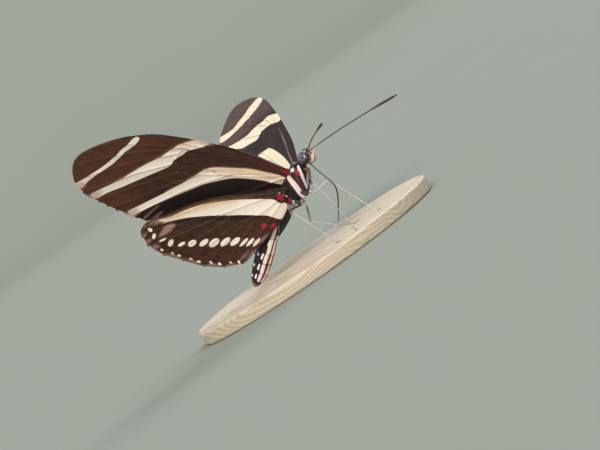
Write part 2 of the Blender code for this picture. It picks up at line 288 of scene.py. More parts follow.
def add_piece(name: str, form: Form, looks: Sequence[bpy.types.Material], slot: Slot,
              *nodes: str) -> bpy.types.Object:
    """Makes an object of a form, rides it on the one body and reports it.

    Args:
        name: The object's name.
        form: Its shape, in body axes.
        looks: Its materials, in the order of the form's slots.
        slot: Not used.
        nodes: The CAD nodes that it stands for.

    Returns:
        The object.
    """
    mesh = bpy.data.meshes.new(name)
    world = STANCE.to_world(form.points) * MM
    mesh.from_pydata(world.tolist(), [], form.faces.tolist())
    for look in looks:
        mesh.materials.append(look)
    if form.slots is not None:
        mesh.polygons.foreach_set("material_index", form.slots.astype(np.int32))
    for key, value in form.values.items():
        kind = "FLOAT" if value.ndim == 1 else "FLOAT_VECTOR"
        layer = mesh.attributes.new(key, kind, "POINT")
        layer.data.foreach_set("value" if value.ndim == 1 else "vector", value.astype(np.float32).ravel())
    if form.bake is not None:
        corners = np.zeros(len(mesh.loops), np.int32)
        mesh.loops.foreach_get("vertex_index", corners)
        layer = mesh.uv_layers.new(name="OFBake")
        layer.data.foreach_set("uv", form.bake[corners].astype(np.float32).ravel())
    mesh.shade_smooth()
    mesh.update()
    piece = bpy.data.objects.new(name, mesh)
    bpy.context.scene.collection.objects.link(piece)
    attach(piece, "root")
    if nodes:
        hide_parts(*nodes)
    LOG.info("%s: %d triangles", name, len(form.faces))
    return piece


def add_node(tree: bpy.types.NodeTree, kind: str, links: dict | None = None,
             values: dict | None = None, **settings: object) -> bpy.types.Node:
    """Adds one shader node.

    Args:
        tree: The material's node tree.
        kind: The node's type name, without the "ShaderNode" that each begins with.
        links: Sockets to link, by the name or number of the input.
        values: Input values, by the name or number of the input.
        settings: The node's own settings.

    Returns:
        The node.
    """
    node = tree.nodes.new("ShaderNode" + kind)
    for key, value in settings.items():
        setattr(node, key, value)
    for key, value in (values or {}).items():
        node.inputs[key].default_value = value
    for key, socket in (links or {}).items():
        tree.links.new(socket, node.inputs[key])
    return node


def new_look(name: str) -> tuple[bpy.types.Material, Callable[..., bpy.types.Node]]:
    """Starts a material.

    Args:
        name: The material's name.

    Returns:
        The material, and add_node for its own node tree.
    """
    look = bpy.data.materials.new(name)
    look.use_nodes = True
    return look, partial(add_node, look.node_tree)


def set_surface(look: bpy.types.Material, links: dict, values: dict) -> None:
    """Links and sets inputs of a material's surface shader.

    Args:
        look: The material.
        links: Sockets to link, by the name of the input.
        values: Input values, by the name of the input.
    """
    shader = look.node_tree.nodes["Principled BSDF"]
    for key, socket in links.items():
        look.node_tree.links.new(socket, shader.inputs[key])
    for key, value in values.items():
        shader.inputs[key].default_value = value


@dataclass(frozen=True)
class Layer:
    """One marking's colour: its tint, how soft its edge is and how much of it covers."""

    tint: Tint
    color: str
    edge: float = 0.06
    wobble: float = 0.1
    cover: float = 1.0
    inset: float = 0.0


@dataclass(frozen=True)
class ScaleFinish:
    """Overlapping chitin scales on a wing or body: matt and powdery, with a silky sheen.

    Scales are real plates about 0.1 mm long. They are drawn as rows 0.2 mm apart, which is
    as fine as the picture can show, and give the eye a fine cloth-like grain.
    """

    name: str
    ground: str
    ground_dark: str
    layers: tuple[Layer, ...]
    row: float = 0.2
    grain: float = 0.35
    bump: float = 0.35
    roughness: float = 0.62
    sheen: float = 0.25
    sheen_color: str = "#c8b0b8"
    speckle: str = "#8a7060"
    speckle_cover: float = 0.18

    def build(self) -> bpy.types.Material:
        """Makes the material."""
        look, add = new_look(self.name)
        place = add("Attribute", attribute_name="lay").outputs["Vector"]
        wander = add("TexNoise", {"Vector": place}, {"Scale": 1.6, "Detail": 3.0})
        fine = add("TexNoise", {"Vector": place}, {"Scale": 7.0, "Detail": 2.0})
        # Long streaks, where the ground is darker, run with the veins.
        streaks = add("VectorMath", {0: place}, {1: (2.2, 0.35, 1.0)}, operation="MULTIPLY")
        streak = add("TexNoise", {"Vector": streaks.outputs[0]},
                     {"Scale": 1.1, "Detail": 4.0, "Roughness": 0.62})
        clear = add("MapRange", {0: streak.outputs["Fac"]}, {1: 0.34, 2: 0.7})
        ground = add("Mix", {0: clear.outputs[0]}, {6: linear(self.ground_dark), 7: linear(self.ground)},
                     data_type="RGBA")
        color = ground.outputs[2]
        # Single paler scales stand in loose drifts.
        cells = add("TexVoronoi", {"Vector": place}, {"Scale": 0.72 / self.row})
        dust = add("MapRange", {0: cells.outputs["Distance"]}, {1: 0.22, 2: 0.05})
        rare = add("MapRange", {0: wander.outputs["Fac"]},
                   {1: 0.52, 2: 0.72, 3: 0.0, 4: self.speckle_cover})
        dusty = add("Math", {0: dust.outputs[0], 1: rare.outputs[0]}, operation="MULTIPLY")
        speck = add("Mix", {0: dusty.outputs[0], 6: color}, {7: linear(self.speckle)}, data_type="RGBA")
        color = speck.outputs[2]
        # Each marking ends at whole scales, so its edge wanders a little.
        ripple = add("Math", {0: fine.outputs["Fac"]}, {1: 0.5}, operation="SUBTRACT")
        for layer in self.layers:
            inside = add("Attribute", attribute_name=layer.tint.value)
            rough_edge = add("Math", {0: ripple.outputs[0], 2: inside.outputs["Fac"]},
                             {1: 2 * layer.wobble}, operation="MULTIPLY_ADD")
            mask = add("MapRange", {0: rough_edge.outputs[0]},
                       {1: layer.inset - layer.edge, 2: layer.inset + layer.edge, 4: layer.cover},
                       interpolation_type="SMOOTHSTEP")
            laid = add("Mix", {0: mask.outputs[0], 6: color}, {7: linear(layer.color)}, data_type="RGBA")
            color = laid.outputs[2]
        # The rows of scales themselves.
        rows = add("TexBrick", {"Vector": place},
                   {"Color1": (1.0, 1.0, 1.0, 1.0), "Color2": (0.78, 0.78, 0.78, 1.0),
                    "Mortar": (0.62, 0.62, 0.62, 1.0), "Scale": 1.0, "Mortar Size": 0.018,
                    "Mortar Smooth": 0.6, "Brick Width": 0.72 * self.row, "Row Height": self.row})
        shade = add("Mix", {6: color, 7: rows.outputs["Color"]}, {0: self.grain}, data_type="RGBA",
                    blend_type="MULTIPLY")
        lighter = add("MapRange", {0: fine.outputs["Fac"]}, {3: 0.8, 4: 1.22})
        final = add("VectorMath", {0: shade.outputs[2], 3: lighter.outputs[0]}, operation="SCALE")
        height = add("Math", {0: rows.outputs["Color"], 1: fine.outputs["Fac"]}, operation="ADD")
        bump = add("Bump", {"Height": height.outputs[0]}, {"Strength": self.bump, "Distance": 0.03 * MM})
        set_surface(look, {"Base Color": final.outputs[0], "Normal": bump.outputs[0]},
                    {"Roughness": self.roughness, "IOR": 1.5, "Specular IOR Level": 0.35,
                     "Sheen Weight": self.sheen, "Sheen Roughness": 0.45,
                     "Sheen Tint": linear(self.sheen_color)})
        return look


@dataclass(frozen=True)
class CuticleFinish:
    """Bare or thinly scaled chitin: a hard natural plastic, satin, IOR about 1.55.

    It gives the eye a narrow soft highlight, faint rings and patches of pale scales. The
    rings are as far apart as an antenna's joints, about 0.36 mm. The proboscis has far finer
    ones, drawn 0.16 mm apart so that they can show.
    """

    name: str
    dark: str
    light: str
    pale: str
    ring: float = 0.34
    ring_cover: float = 0.5
    roughness: float = 0.42
    coat: float = 0.15

    def build(self) -> bpy.types.Material:
        """Makes the material."""
        look, add = new_look(self.name)
        place = add("Attribute", attribute_name="lay").outputs["Vector"]
        noise = add("TexNoise", {"Vector": place}, {"Scale": 5.0, "Detail": 4.0})
        mixed = add("Mix", {0: noise.outputs["Fac"]}, {6: linear(self.dark), 7: linear(self.light)},
                    data_type="RGBA")
        inside = add("Attribute", attribute_name=Tint.CREAM.value)
        ragged = add("Math", {0: noise.outputs["Fac"], 2: inside.outputs["Fac"]}, {1: 0.5},
                     operation="MULTIPLY_ADD")
        scaled = add("MapRange", {0: ragged.outputs[0]}, {1: 0.17, 2: 0.33})
        pale = add("Mix", {0: scaled.outputs[0], 6: mixed.outputs[2]}, {7: linear(self.pale)},
                   data_type="RGBA")
        split = add("SeparateXYZ", {0: place})
        phase = add("Math", {0: split.outputs[1]}, {1: 2 * math.pi / self.ring}, operation="MULTIPLY")
        wave = add("Math", {0: phase.outputs[0]}, operation="SINE")
        band = add("MapRange", {0: wave.outputs[0]}, {1: 0.55, 2: 1.0, 3: 1.0, 4: 1.0 - self.ring_cover})
        final = add("VectorMath", {0: pale.outputs[2], 3: band.outputs[0]}, operation="SCALE")
        relief = add("Math", {0: noise.outputs["Fac"], 1: band.outputs[0]}, operation="ADD")
        bump = add("Bump", {"Height": relief.outputs[0]}, {"Strength": 0.4, "Distance": 0.03 * MM})
        set_surface(look, {"Base Color": final.outputs[0], "Normal": bump.outputs[0]},
                    {"Roughness": self.roughness, "IOR": 1.55, "Coat Weight": self.coat,
                     "Coat Roughness": 0.3})
        return look


@dataclass(frozen=True)
class CorneaFinish:
    """A compound eye: clear chitin lenses over dark pigment, glossy, IOR 1.45.

    It gives the eye one bright highlight from its gloss. Its ground is dark pigment with a
    painted mauve-grey sheen where it faces outwards, painted shade at its edge and painted
    dark pseudopupil spots and shade.
    """

    name: str = "cornea_lenses"
    pigment: str = "#2a2029"
    painted_sheen: str = "#7c6d7f"
    # Painted shade at the eye's edge, where it meets the head.
    rim: str = "#1c0c0d"
    # The spot colour paints the dark pseudopupils and the shade on the eye's back and lower side.
    spot: str = "#0a0709"

    def build(self) -> bpy.types.Material:
        """Makes the material."""
        look, add = new_look(self.name)
        place = add("Attribute", attribute_name="lay").outputs["Vector"]
        noise = add("TexNoise", {"Vector": place}, {"Scale": 4.5, "Detail": 2.0})
        # Painted sheen: the mottled pigment turns mauve-grey where the eye faces outwards.
        middle = add("Attribute", attribute_name=Tint.HAZE.value)
        spots = add("Attribute", attribute_name=Tint.BLACK.value)
        ragged = add("Math", {0: noise.outputs["Fac"], 2: middle.outputs["Fac"]}, {1: 1.6},
                     operation="MULTIPLY_ADD")
        painted_sheen_mask = add("MapRange", {0: ragged.outputs[0]}, {1: 1.1, 2: 1.85})
        ground = add("Mix", {0: painted_sheen_mask.outputs[0]}, {6: linear(self.pigment), 7: linear(self.painted_sheen)},
                     data_type="RGBA")
        # Painted shade: the eye darkens towards its edge, where it meets the head.
        edge = add("MapRange", {0: middle.outputs["Fac"]}, {1: 0.42, 2: 0.12})
        painted_edge_shade = add("Mix", {0: edge.outputs[0], 6: ground.outputs[2]}, {7: linear(self.rim)},
                     data_type="RGBA")
        # Painted dark pseudopupils, and painted shade on the eye's back and lower side.
        soft = add("Math", {0: noise.outputs["Fac"], 2: spots.outputs["Fac"]}, {1: 0.16},
                   operation="MULTIPLY_ADD")
        mask = add("MapRange", {0: soft.outputs[0]}, {1: 0.0, 2: 0.15})
        final = add("Mix", {0: mask.outputs[0], 6: painted_edge_shade.outputs[2]}, {7: linear(self.spot)},
                    data_type="RGBA")
        set_surface(look, {"Base Color": final.outputs[2]},
                    {"Roughness": 0.28, "IOR": 1.45, "Coat Weight": 0.6, "Coat Roughness": 0.12})
        return look


@dataclass(frozen=True)
class BeechFinish:
    """Turned beech, limed and waxed: pale and close grained, with faint ray flecks."""

    name: str = "limed_beech"
    early: str = "#d9cbb4"
    late: str = "#bfa98b"
    fleck: str = "#9b8163"

    def build(self) -> bpy.types.Material:
        """Makes the material. Growth rings are 1 to 4 mm apart and rays about 1 mm long."""
        look, add = new_look(self.name)
        place = add("TexCoord").outputs["Object"]
        stretched = add("VectorMath", {0: place}, {1: (14.0, 62.0, 90.0)}, operation="MULTIPLY")
        layers = add("TexNoise", {"Vector": stretched.outputs[0]}, {"Detail": 1.6, "Scale": 1.0})
        split = add("SeparateXYZ", {0: place})
        depth = add("Math", {0: split.outputs[2]}, {1: 1800.0}, operation="MULTIPLY")
        phase = add("Math", {0: layers.outputs["Fac"], 2: depth.outputs[0]}, {1: 130.0},
                    operation="MULTIPLY_ADD")
        rings = add("Math", {0: phase.outputs[0]}, operation="SINE")
        grown = add("MapRange", {0: rings.outputs[0]}, {1: -0.6, 2: 1.1, 4: 0.75})
        ring = add("Mix", {0: grown.outputs[0]}, {6: linear(self.early), 7: linear(self.late)},
                   data_type="RGBA")
        along = add("VectorMath", {0: place}, {1: (900.0, 5200.0, 6200.0)}, operation="MULTIPLY")
        cells = add("TexVoronoi", {"Vector": along.outputs[0]}, {"Scale": 1.0})
        rays = add("MapRange", {0: cells.outputs["Distance"]}, {1: 0.26, 2: 0.06, 4: 0.35})
        flecked = add("Mix", {0: rays.outputs[0], 6: ring.outputs[2]}, {7: linear(self.fleck)},
                      data_type="RGBA")
        fibre = add("TexNoise", {"Vector": along.outputs[0]}, {"Scale": 1.4, "Detail": 5.0})
        tone = add("MapRange", {0: fibre.outputs["Fac"]}, {3: 0.86, 4: 1.1})
        final = add("VectorMath", {0: flecked.outputs[2], 3: tone.outputs[0]}, operation="SCALE")
        bump = add("Bump", {"Height": fibre.outputs["Fac"]}, {"Strength": 0.25, "Distance": 0.05 * MM})
        dull = add("MapRange", {0: fibre.outputs["Fac"]}, {3: 0.42, 4: 0.58})
        set_surface(look,
                    {"Base Color": final.outputs[0], "Normal": bump.outputs[0],
                     "Roughness": dull.outputs[0]}, {})
        return look


@dataclass(frozen=True)
class PaperFinish:
    """Seamless studio background paper: matt and pale, an even ground without gloss."""

    name: str = "studio_paper"
    color: str = "#8e948a"

    def build(self) -> bpy.types.Material:
        """Makes the material, with a faint cloudiness about 80 mm across."""
        look, add = new_look(self.name)
        place = add("TexCoord").outputs["Object"]
        cloud = add("TexNoise", {"Vector": place}, {"Scale": 12.0})
        tone = add("MapRange", {0: cloud.outputs["Fac"]}, {3: 0.985, 4: 1.015})
        tinted = add("VectorMath", {3: tone.outputs[0]}, {0: linear(self.color)[:3]}, operation="SCALE")
        set_surface(look, {"Base Color": tinted.outputs[0]}, {"Roughness": 0.9})
        return look


@dataclass
class Roots:
    """Where tufts grow: the place, the way out, the way they lie, and values there."""

    at: Array
    out: Array
    lie: Array
    unwrap: Array
    values: dict[str, Array]

    def chosen(self, keep: Array) -> "Roots":
        """The roots that keep picks."""
        return Roots(self.at[keep], self.out[keep], self.lie[keep], self.unwrap[keep],
                     {k: v[keep] for k, v in self.values.items()})


@dataclass(frozen=True)
class TuftStyle:
    """One kind of tuft: how many grow, their size, and how they stand off the skin.

    Length and width are in millimetres and the lift off the skin in degrees. A count of 0
    leaves the number to the rows that they stand in.
    """

    count: int
    length: float
    width: float
    lift: float
    vary: float = 0.3
    stray: float = 0.25
    thick: float = 0.45
    bend: float = 0.5
    sunk: float = 0.06

    def grow(self, roots: Roots, rng: Rng, scale: Array | float = 1.0) -> Form:
        """Grows one closed, tapered lock of ten triangles from each root.

        Args:
            roots: Where the tufts grow.
            rng: The seeded source of the variation.
            scale: A factor on each tuft's length.

        Returns:
            All the tufts as one form, each with its own patch of the bake map.
        """
        count = len(roots.at)
        out = unit(roots.out)
        lie = roots.lie - out * (roots.lie * out).sum(1, keepdims=True)
        lie = unit(unit(lie) + self.stray * rng.normal(size=(count, 3)))
        side = unit(np.cross(out, lie))
        lie = unit(lie - out * (lie * out).sum(1, keepdims=True))
        length = (self.length * scale * (1 + self.vary * rng.uniform(-1, 1, count)))[:, None]
        width = self.width * (1 + 0.3 * rng.uniform(-1, 1, count))[:, None]
        lift = np.radians(self.lift * (1 + 0.4 * rng.uniform(-1, 1, count)))[:, None]
        rise = lie * np.cos(lift) + out * np.sin(lift)
        tip_lift = lift * (1 - self.bend)
        reach = lie * np.cos(tip_lift) + out * np.sin(tip_lift)
        base = roots.at - out * self.sunk
        middle = base + rise * (0.55 * length + self.sunk)
        tip = middle + reach * 0.45 * length
        over = unit(np.cross(lie, side)) * self.thick
        corners = [base - side * width * 0.8, base + side * width * 0.8, base - over * width * 1.6,
                   middle - side * width, middle + side * width, middle - over * width * 1.6, tip]
        points = np.stack(corners, axis=1).reshape(-1, 3)
        pattern = np.array([(0, 1, 2), (0, 4, 1), (0, 3, 4), (1, 5, 2), (1, 4, 5), (2, 3, 0), (2, 5, 3),
                            (3, 6, 4), (4, 6, 5), (5, 6, 3)])
        faces = (np.arange(count)[:, None, None] * len(corners) + pattern).reshape(-1, 3)
        patch = np.array([(0, 0), (1, 0), (0.5, 0.2), (0, 0.6), (1, 0.6), (0.5, 0.75), (0.5, 1)]) - 0.5
        bake = (np.clip(roots.unwrap, 0.003, 0.997)[:, None] + BAKE_PATCH * patch).reshape(-1, 2)
        values = {key: np.repeat(value, len(corners), axis=0) for key, value in roots.values.items()}
        return Form(points, faces, values, None, bake)


FRINGE_SCALES = TuftStyle(0, 1.0, 0.034, 4.0, vary=0.18, stray=0.1, thick=0.5, sunk=0.01)
WING_ROOT_HAIR = TuftStyle(1500, 0.42, 0.026, 7.0, vary=0.35, stray=0.18)
THORAX_HAIR = TuftStyle(15000, 0.32, 0.034, 11.0, vary=0.3, stray=0.16)
ABDOMEN_SCALES = TuftStyle(15500, 0.32, 0.042, 6.0, vary=0.25, stray=0.14, thick=0.3)
FACE_HAIR = TuftStyle(4200, 0.22, 0.026, 14.0, vary=0.3, stray=0.18)
EYE_RIM_SCALES = TuftStyle(1300, 0.34, 0.018, 5.0, vary=0.35, stray=0.16, bend=0.2)
ANTENNA_DOWN = TuftStyle(1500, 0.13, 0.016, 10.0, stray=0.1, sunk=0.02)
PALP_HAIR = TuftStyle(950, 0.27, 0.024, 15.0, stray=0.16)
FORELEG_HAIR = TuftStyle(800, 0.2, 0.022, 12.0, stray=0.15)
LEG_SCALES = TuftStyle(2600, 0.17, 0.026, 8.0, vary=0.25, stray=0.12, thick=0.3, sunk=0.03)
LEG_SPINES = TuftStyle(90, 0.26, 0.018, 32.0, vary=0.2, stray=0.05, sunk=0.03)


@dataclass
class Sleeve:
    """A closed skin of rings from front to back, or from root to tip."""

    rings: Array
    values: dict[str, Array] = field(default_factory=dict)

    def out(self) -> Array:
        """The way out of the skin at each point of the rings."""
        along = np.gradient(self.rings, axis=0)
        around = np.roll(self.rings, -1, axis=1) - np.roll(self.rings, 1, axis=1)
        out = unit(np.cross(around, along))
        centre = self.rings.mean(axis=1, keepdims=True)
        flip = np.sign(((self.rings - centre) * out).sum(-1).mean())
        return out * flip

    def form(self) -> Form:
        """The skin as triangles, with a point in the middle of each end."""
        rows, sides, _ = self.rings.shape
        first, last = self.rings[0].mean(axis=0), self.rings[-1].mean(axis=0)
        points = np.vstack([self.rings.reshape(-1, 3), first, last])
        i, j = np.meshgrid(np.arange(rows - 1), np.arange(sides), indexing="ij")
        a, b = (i * sides + j).ravel(), (i * sides + (j + 1) % sides).ravel()
        c, d = b + sides, a + sides
        k = np.arange(sides)
        after = (k + 1) % sides
        top, end = rows * sides, rows * sides + 1
        tail = (rows - 1) * sides
        faces = np.vstack([np.stack([a, b, c], 1), np.stack([a, c, d], 1),
                           np.stack([np.full(sides, top), after, k], 1),
                           np.stack([np.full(sides, end), tail + k, tail + after], 1)])
        around = np.roll(self.rings, -1, axis=1) - self.rings
        along = np.gradient(self.rings, axis=0)
        centre = self.rings.mean(axis=1, keepdims=True)
        if ((self.rings - centre) * np.cross(around, along)).sum() < 0:
            faces = faces[:, ::-1]
        values = {}
        for key, value in self.values.items():
            flat = value.reshape(rows * sides, *value.shape[2:])
            values[key] = np.concatenate([flat, value[0].mean(axis=0)[None], value[-1].mean(axis=0)[None]])
        return Form(points, faces, values)

    def scatter(self, count: int, rng: Rng, density: Array | None = None) -> Roots:
        """Random roots spread evenly over the skin.

        Args:
            count: How many roots.
            rng: The seeded source of the places.
            density: How thick they stand at each point of the rings, where it varies.

        Returns:
            The roots, whose lie points to the back end or tip.
        """
        rows, sides, _ = self.rings.shape
        wrapped = np.concatenate([self.rings, self.rings[:, :1]], axis=1)
        down = wrapped[1:, :-1] - wrapped[:-1, :-1]
        across = wrapped[:-1, 1:] - wrapped[:-1, :-1]
        weight = np.linalg.norm(np.cross(down, across), axis=-1)
        if density is not None:
            weight = weight * density[:-1]
        total = np.cumsum(weight.ravel())
        pick = np.searchsorted(total, rng.uniform(0, total[-1], count))
        i, j = np.unravel_index(np.minimum(pick, weight.size - 1), weight.shape)
        s, t = rng.uniform(size=(2, count))

        def between(grid: Array) -> Array:
            """Values of a grid at the roots."""
            u, v = (s, t) if grid.ndim == 2 else (s[:, None], t[:, None])
            after = (j + 1) % sides
            return ((grid[i, j] * (1 - u) + grid[i + 1, j] * u) * (1 - v)
                    + (grid[i, after] * (1 - u) + grid[i + 1, after] * u) * v)

        lie = np.gradient(self.rings, axis=0)
        unwrap = np.stack([(i + s) / (rows - 1), (j + t) / sides], axis=1)
        return Roots(between(self.rings), between(self.out()), between(lie), unwrap,
                     {key: between(value) for key, value in self.values.items()})


def tube(path: Array, radii: Array, sides: int = 16,
         section: Callable[[Array], Array] | None = None) -> Sleeve:
    """A round skin along a path, whose values give the way along and around it.

    Args:
        path: The points of its middle line.
        radii: The radius at each of them.
        sides: How many points each ring has.
        section: A factor on the radius by the angle round the ring.

    Returns:
        The skin.
    """
    heading = unit(np.gradient(path, axis=0))
    across = unit(np.cross(heading[0], (0.0, 1.0, 0.0)))
    turns = 2 * math.pi * np.arange(sides) / sides
    factor = np.ones(sides) if section is None else section(turns)
    rings = []
    for centre, ahead, radius in zip(path, heading, radii):
        across = unit(across - ahead * (across @ ahead))
        other = np.cross(ahead, across)
        rings.append(centre + radius * factor[:, None] * (np.cos(turns)[:, None] * across
                                                          + np.sin(turns)[:, None] * other))
    way = way_along(path)
    lay = np.stack(np.broadcast_arrays(turns[None] * radii[:, None], way[:, None], 0.0), axis=-1)
    return Sleeve(np.array(rings), {"lay": lay})


@dataclass(frozen=True)
class Spot:
    """A round or long spot: its middle, half length, half width and the slant of its length."""

    x: float
    y: float
    long: float
    wide: float
    slant: float = 0.0

    def depth(self, points: Array) -> Array:
        """How far points on the wing lie inside the spot."""
        turn = math.radians(self.slant)
        ahead = np.array((math.cos(turn), math.sin(turn)))
        gone = points - np.array((self.x, self.y))
        u, v = gone @ ahead, gone @ np.array((-ahead[1], ahead[0]))
        reach = np.sqrt((u / self.long) ** 2 + (v / self.wide) ** 2)
        return np.clip((1 - reach) * min(self.long, self.wide), FAR_OUTSIDE, 1.0)


@dataclass(frozen=True)
class Band:
    """A patch of colour with a smooth closed outline."""

    outline: tuple[Flat, ...]

    def depth(self, points: Array) -> Array:
        """How far points on the wing lie inside the band."""
        return np.maximum(depth_inside(points, curve_through(self.outline, 0.6, closed=True)), FAR_OUTSIDE)


@dataclass(frozen=True)
class Streak:
    """A thin line of scales with the given half width, thinning to its end."""

    line: tuple[Flat, ...]
    half: float
    end: float = 0.4

    def depth(self, points: Array) -> Array:
        """How far points on the wing lie inside the streak."""
        gap, share = line_distance(points, curve_through(self.line, 0.6))
        return np.maximum(self.half * (1 - (1 - self.end) * share) - gap, FAR_OUTSIDE)


@dataclass(frozen=True)
class Mark:
    """Shapes of one tint on a wing, and on which of its faces they show."""

    tint: Tint
    shapes: tuple[Spot | Band | Streak, ...]
    upper: bool = True
    under: bool = True


def along_ring(grid: Array, spot: Array, share: Array) -> Array:
    """Values of a closed ring, the given share of the way from each spot to the next."""
    t = share if grid.ndim == 1 else share[:, None]
    return grid[spot] * (1 - t) + grid[(spot + 1) % len(grid)] * t


@dataclass(frozen=True)
class WingPlan:
    """One kind of wing, drawn flat for the right side, and how it is held.

    The outline's third number is the length of the fringe there. Angles are in degrees.
    Each fringe row gives its face, the spacing of its scales and a factor on their length.
    The mesh's points are a pitch apart and keep the gaps from the edge and the veins. The
    membrane sinks by the valley beside its veins, and ripples a little all over.
    """

    kind: str
    root: Point
    dihedral: float
    sweep: float
    twist: float
    rise: Callable[[Array], Array]
    outline: tuple[Point, ...]
    veins: tuple[tuple[Flat, ...], ...]
    marks: tuple[Mark, ...]
    fringe_pale: tuple[Flat, ...]
    hair_reach: float
    pitch: float = 0.27
    edge_gap: float = 0.14
    vein_gap: float = 0.22
    half_thick: float = 0.06
    vein_half: tuple[float, float] = (0.17, 0.08)
    vein_height: tuple[float, float] = (0.13, 0.06)
    valley: float = 0.09
    ripple: float = 0.05
    fringe_rows: tuple[tuple[bool, float, float], ...] = (
        (True, 0.085, 1.0), (False, 0.085, 0.92), (True, 0.06, 0.55))

    def axes(self) -> tuple[Array, Array, Array]:
        """The directions of its span, of its leading edge and of its upper face."""
        sweep, dihedral = math.radians(self.sweep), math.radians(self.dihedral)
        span = Vector((-math.sin(sweep), -math.cos(sweep) * math.cos(dihedral),
                       math.cos(sweep) * math.sin(dihedral)))
        ahead = Vector((1, 0, 0)) - span * span.x
        lead = Matrix.Rotation(math.radians(self.twist), 3, span) @ ahead.normalized()
        return np.array(span), np.array(lead), np.array(span.cross(lead))

    def place(self, flat: Array, height: Array) -> Array:
        """Body points of flat points that stand the given height over the wing's middle."""
        span, lead, up = self.axes()
        lifted = self.rise(flat[:, 0]) + height
        return np.array(self.root) + flat[:, :1] * span + flat[:, 1:] * lead + lifted[:, None] * up

    def rim(self, share: float = 1.0) -> tuple[Array, Array, Array]:
        """The edge of the membrane, inside the outline by a share of the fringe.

        Args:
            share: How much of the fringe's length the edge stands back.

        Returns:
            The edge's points, the way outwards at each and the fringe's length there.
        """
        ring = curve_through(self.outline, 0.26, closed=True)
        flat, fringe = ring[:, :2], np.maximum(ring[:, 2], 0.0)
        ahead = unit(np.roll(flat, -1, axis=0) - np.roll(flat, 1, axis=0))
        outward = np.stack([-ahead[:, 1], ahead[:, 0]], axis=1)
        return flat - outward * (fringe * share)[:, None], outward, fringe

    def vein_lines(self) -> list[Array]:
        """The veins as fine lines."""
        return [curve_through(vein, 0.28) for vein in self.veins]

    def vein_profile(self, flat: Array) -> tuple[Array, Array]:
        """The nearest vein at flat points.

        Args:
            flat: The points.

        Returns:
            How far each lies inside the nearest vein, and the ridge's height there.
        """
        inside = np.full(len(flat), FAR_OUTSIDE)
        height = np.zeros(len(flat))
        for line in self.vein_lines():
            gap, share = line_distance(flat, line)
            half = self.vein_half[0] + (self.vein_half[1] - self.vein_half[0]) * share
            tall = self.vein_height[0] + (self.vein_height[1] - self.vein_height[0]) * share
            inside = np.maximum(inside, half - gap)
            height = np.maximum(height, tall * np.sqrt(np.clip(1 - (gap / (1.3 * half)) ** 2, 0, 1)))
        return inside, height

    def values(self, flat: Array, upper: bool) -> dict[str, Array]:
        """The markings on one face.

        Args:
            flat: The flat points.
            upper: Whether the face is the upper one.

        Returns:
            How far each point lies inside each marking, by its tint.
        """
        found = {}
        for tint in Tint:
            depth = np.full(len(flat), FAR_OUTSIDE)
            for mark in self.marks:
                if mark.tint is tint and (mark.upper if upper else mark.under):
                    for shape in mark.shapes:
                        depth = np.maximum(depth, shape.depth(flat))
            found[tint.value] = depth
        found[Tint.PEACH.value] = np.minimum(found[Tint.PEACH.value], found[Tint.CREAM.value])
        found[Tint.VEIN.value] = self.vein_profile(flat)[0]
        return found

    def membrane(self) -> Form:
        """The wing's two faces and its edge, with the veins as ridges on both faces."""
        edge, _, _ = self.rim()
        rows = [edge]
        for line in self.vein_lines():
            heading = unit(np.gradient(line, axis=0))
            aside = np.stack([-heading[:, 1], heading[:, 0]], axis=1)
            half = np.linspace(*self.vein_half, len(line))[:, None]
            rows += [line + aside * half * offset for offset in (0.0, -0.8, 0.8, -1.5, 1.5)]
        veins = np.vstack(rows[1:])
        veins = veins[depth_inside(veins, edge) > 0.1]
        _, first = np.unique(np.round(veins / 0.07), axis=0, return_index=True)
        veins = veins[np.sort(first)]
        low, high = edge.min(axis=0), edge.max(axis=0)
        across, along = np.meshgrid(np.arange(low[0], high[0], self.pitch),
                                    np.arange(low[1], high[1], self.pitch * 0.866))
        across[1::2] += self.pitch / 2
        grid = np.stack([across.ravel(), along.ravel()], axis=1)
        grid = grid[depth_inside(grid, edge) > self.edge_gap]
        grid = grid[self.vein_profile(grid)[0] < -self.vein_gap]
        points = [Vector(p) for p in np.vstack([edge, veins, grid]).tolist()]
        flat, _, faces, *_ = delaunay_2d_cdt(points, [], [list(range(len(edge)))], 1, 1e-5, False)
        flat = np.array([tuple(p) for p in flat])
        faces = np.array([tuple(f) for f in faces])
        return self.both_faces(flat, faces)

    def both_faces(self, flat: Array, faces: Array) -> Form:
        """Makes a flat mesh into the wing's two faces, joined along the edge.

        Args:
            flat: The mesh's flat points.
            faces: Its triangles.

        Returns:
            The wing, with slot 0 on its upper face and slot 1 on its under face.
        """
        a, b, c = (flat[faces[:, k]] for k in range(3))
        signed = (b[:, 0] - a[:, 0]) * (c[:, 1] - a[:, 1]) - (b[:, 1] - a[:, 1]) * (c[:, 0] - a[:, 0])
        faces = np.where((signed > 0)[:, None], faces, faces[:, ::-1])
        inside, ridge = self.vein_profile(flat)
        edge_depth = depth_inside(flat, self.rim()[0])
        thin = 0.3 + 0.7 * smooth_step(edge_depth / 0.35)
        half = self.half_thick * thin + ridge * smooth_step(edge_depth / 0.5)
        wave = self.ripple * np.sin(flat[:, 0] * 0.9 + 1.3 * np.sin(flat[:, 1] * 0.7))
        middle = -self.valley * np.exp(-(np.minimum(inside, 0) / 0.7) ** 2) + wave
        middle = middle * smooth_step(edge_depth / 0.6)
        count = len(flat)
        points = np.vstack([self.place(flat, middle + half), self.place(flat, middle - half)])
        directed = np.vstack([faces[:, [0, 1]], faces[:, [1, 2]], faces[:, [2, 0]]])
        keys = directed[:, 0] * count + directed[:, 1]
        border = directed[~np.isin(keys, directed[:, 1] * count + directed[:, 0])]
        u, v = border[:, 0], border[:, 1]
        walls = np.vstack([np.stack([v, u, u + count], 1), np.stack([v, u + count, v + count], 1)])
        upper, under = self.values(flat, True), self.values(flat, False)
        values = {key: np.concatenate([upper[key], under[key]]) for key in upper}
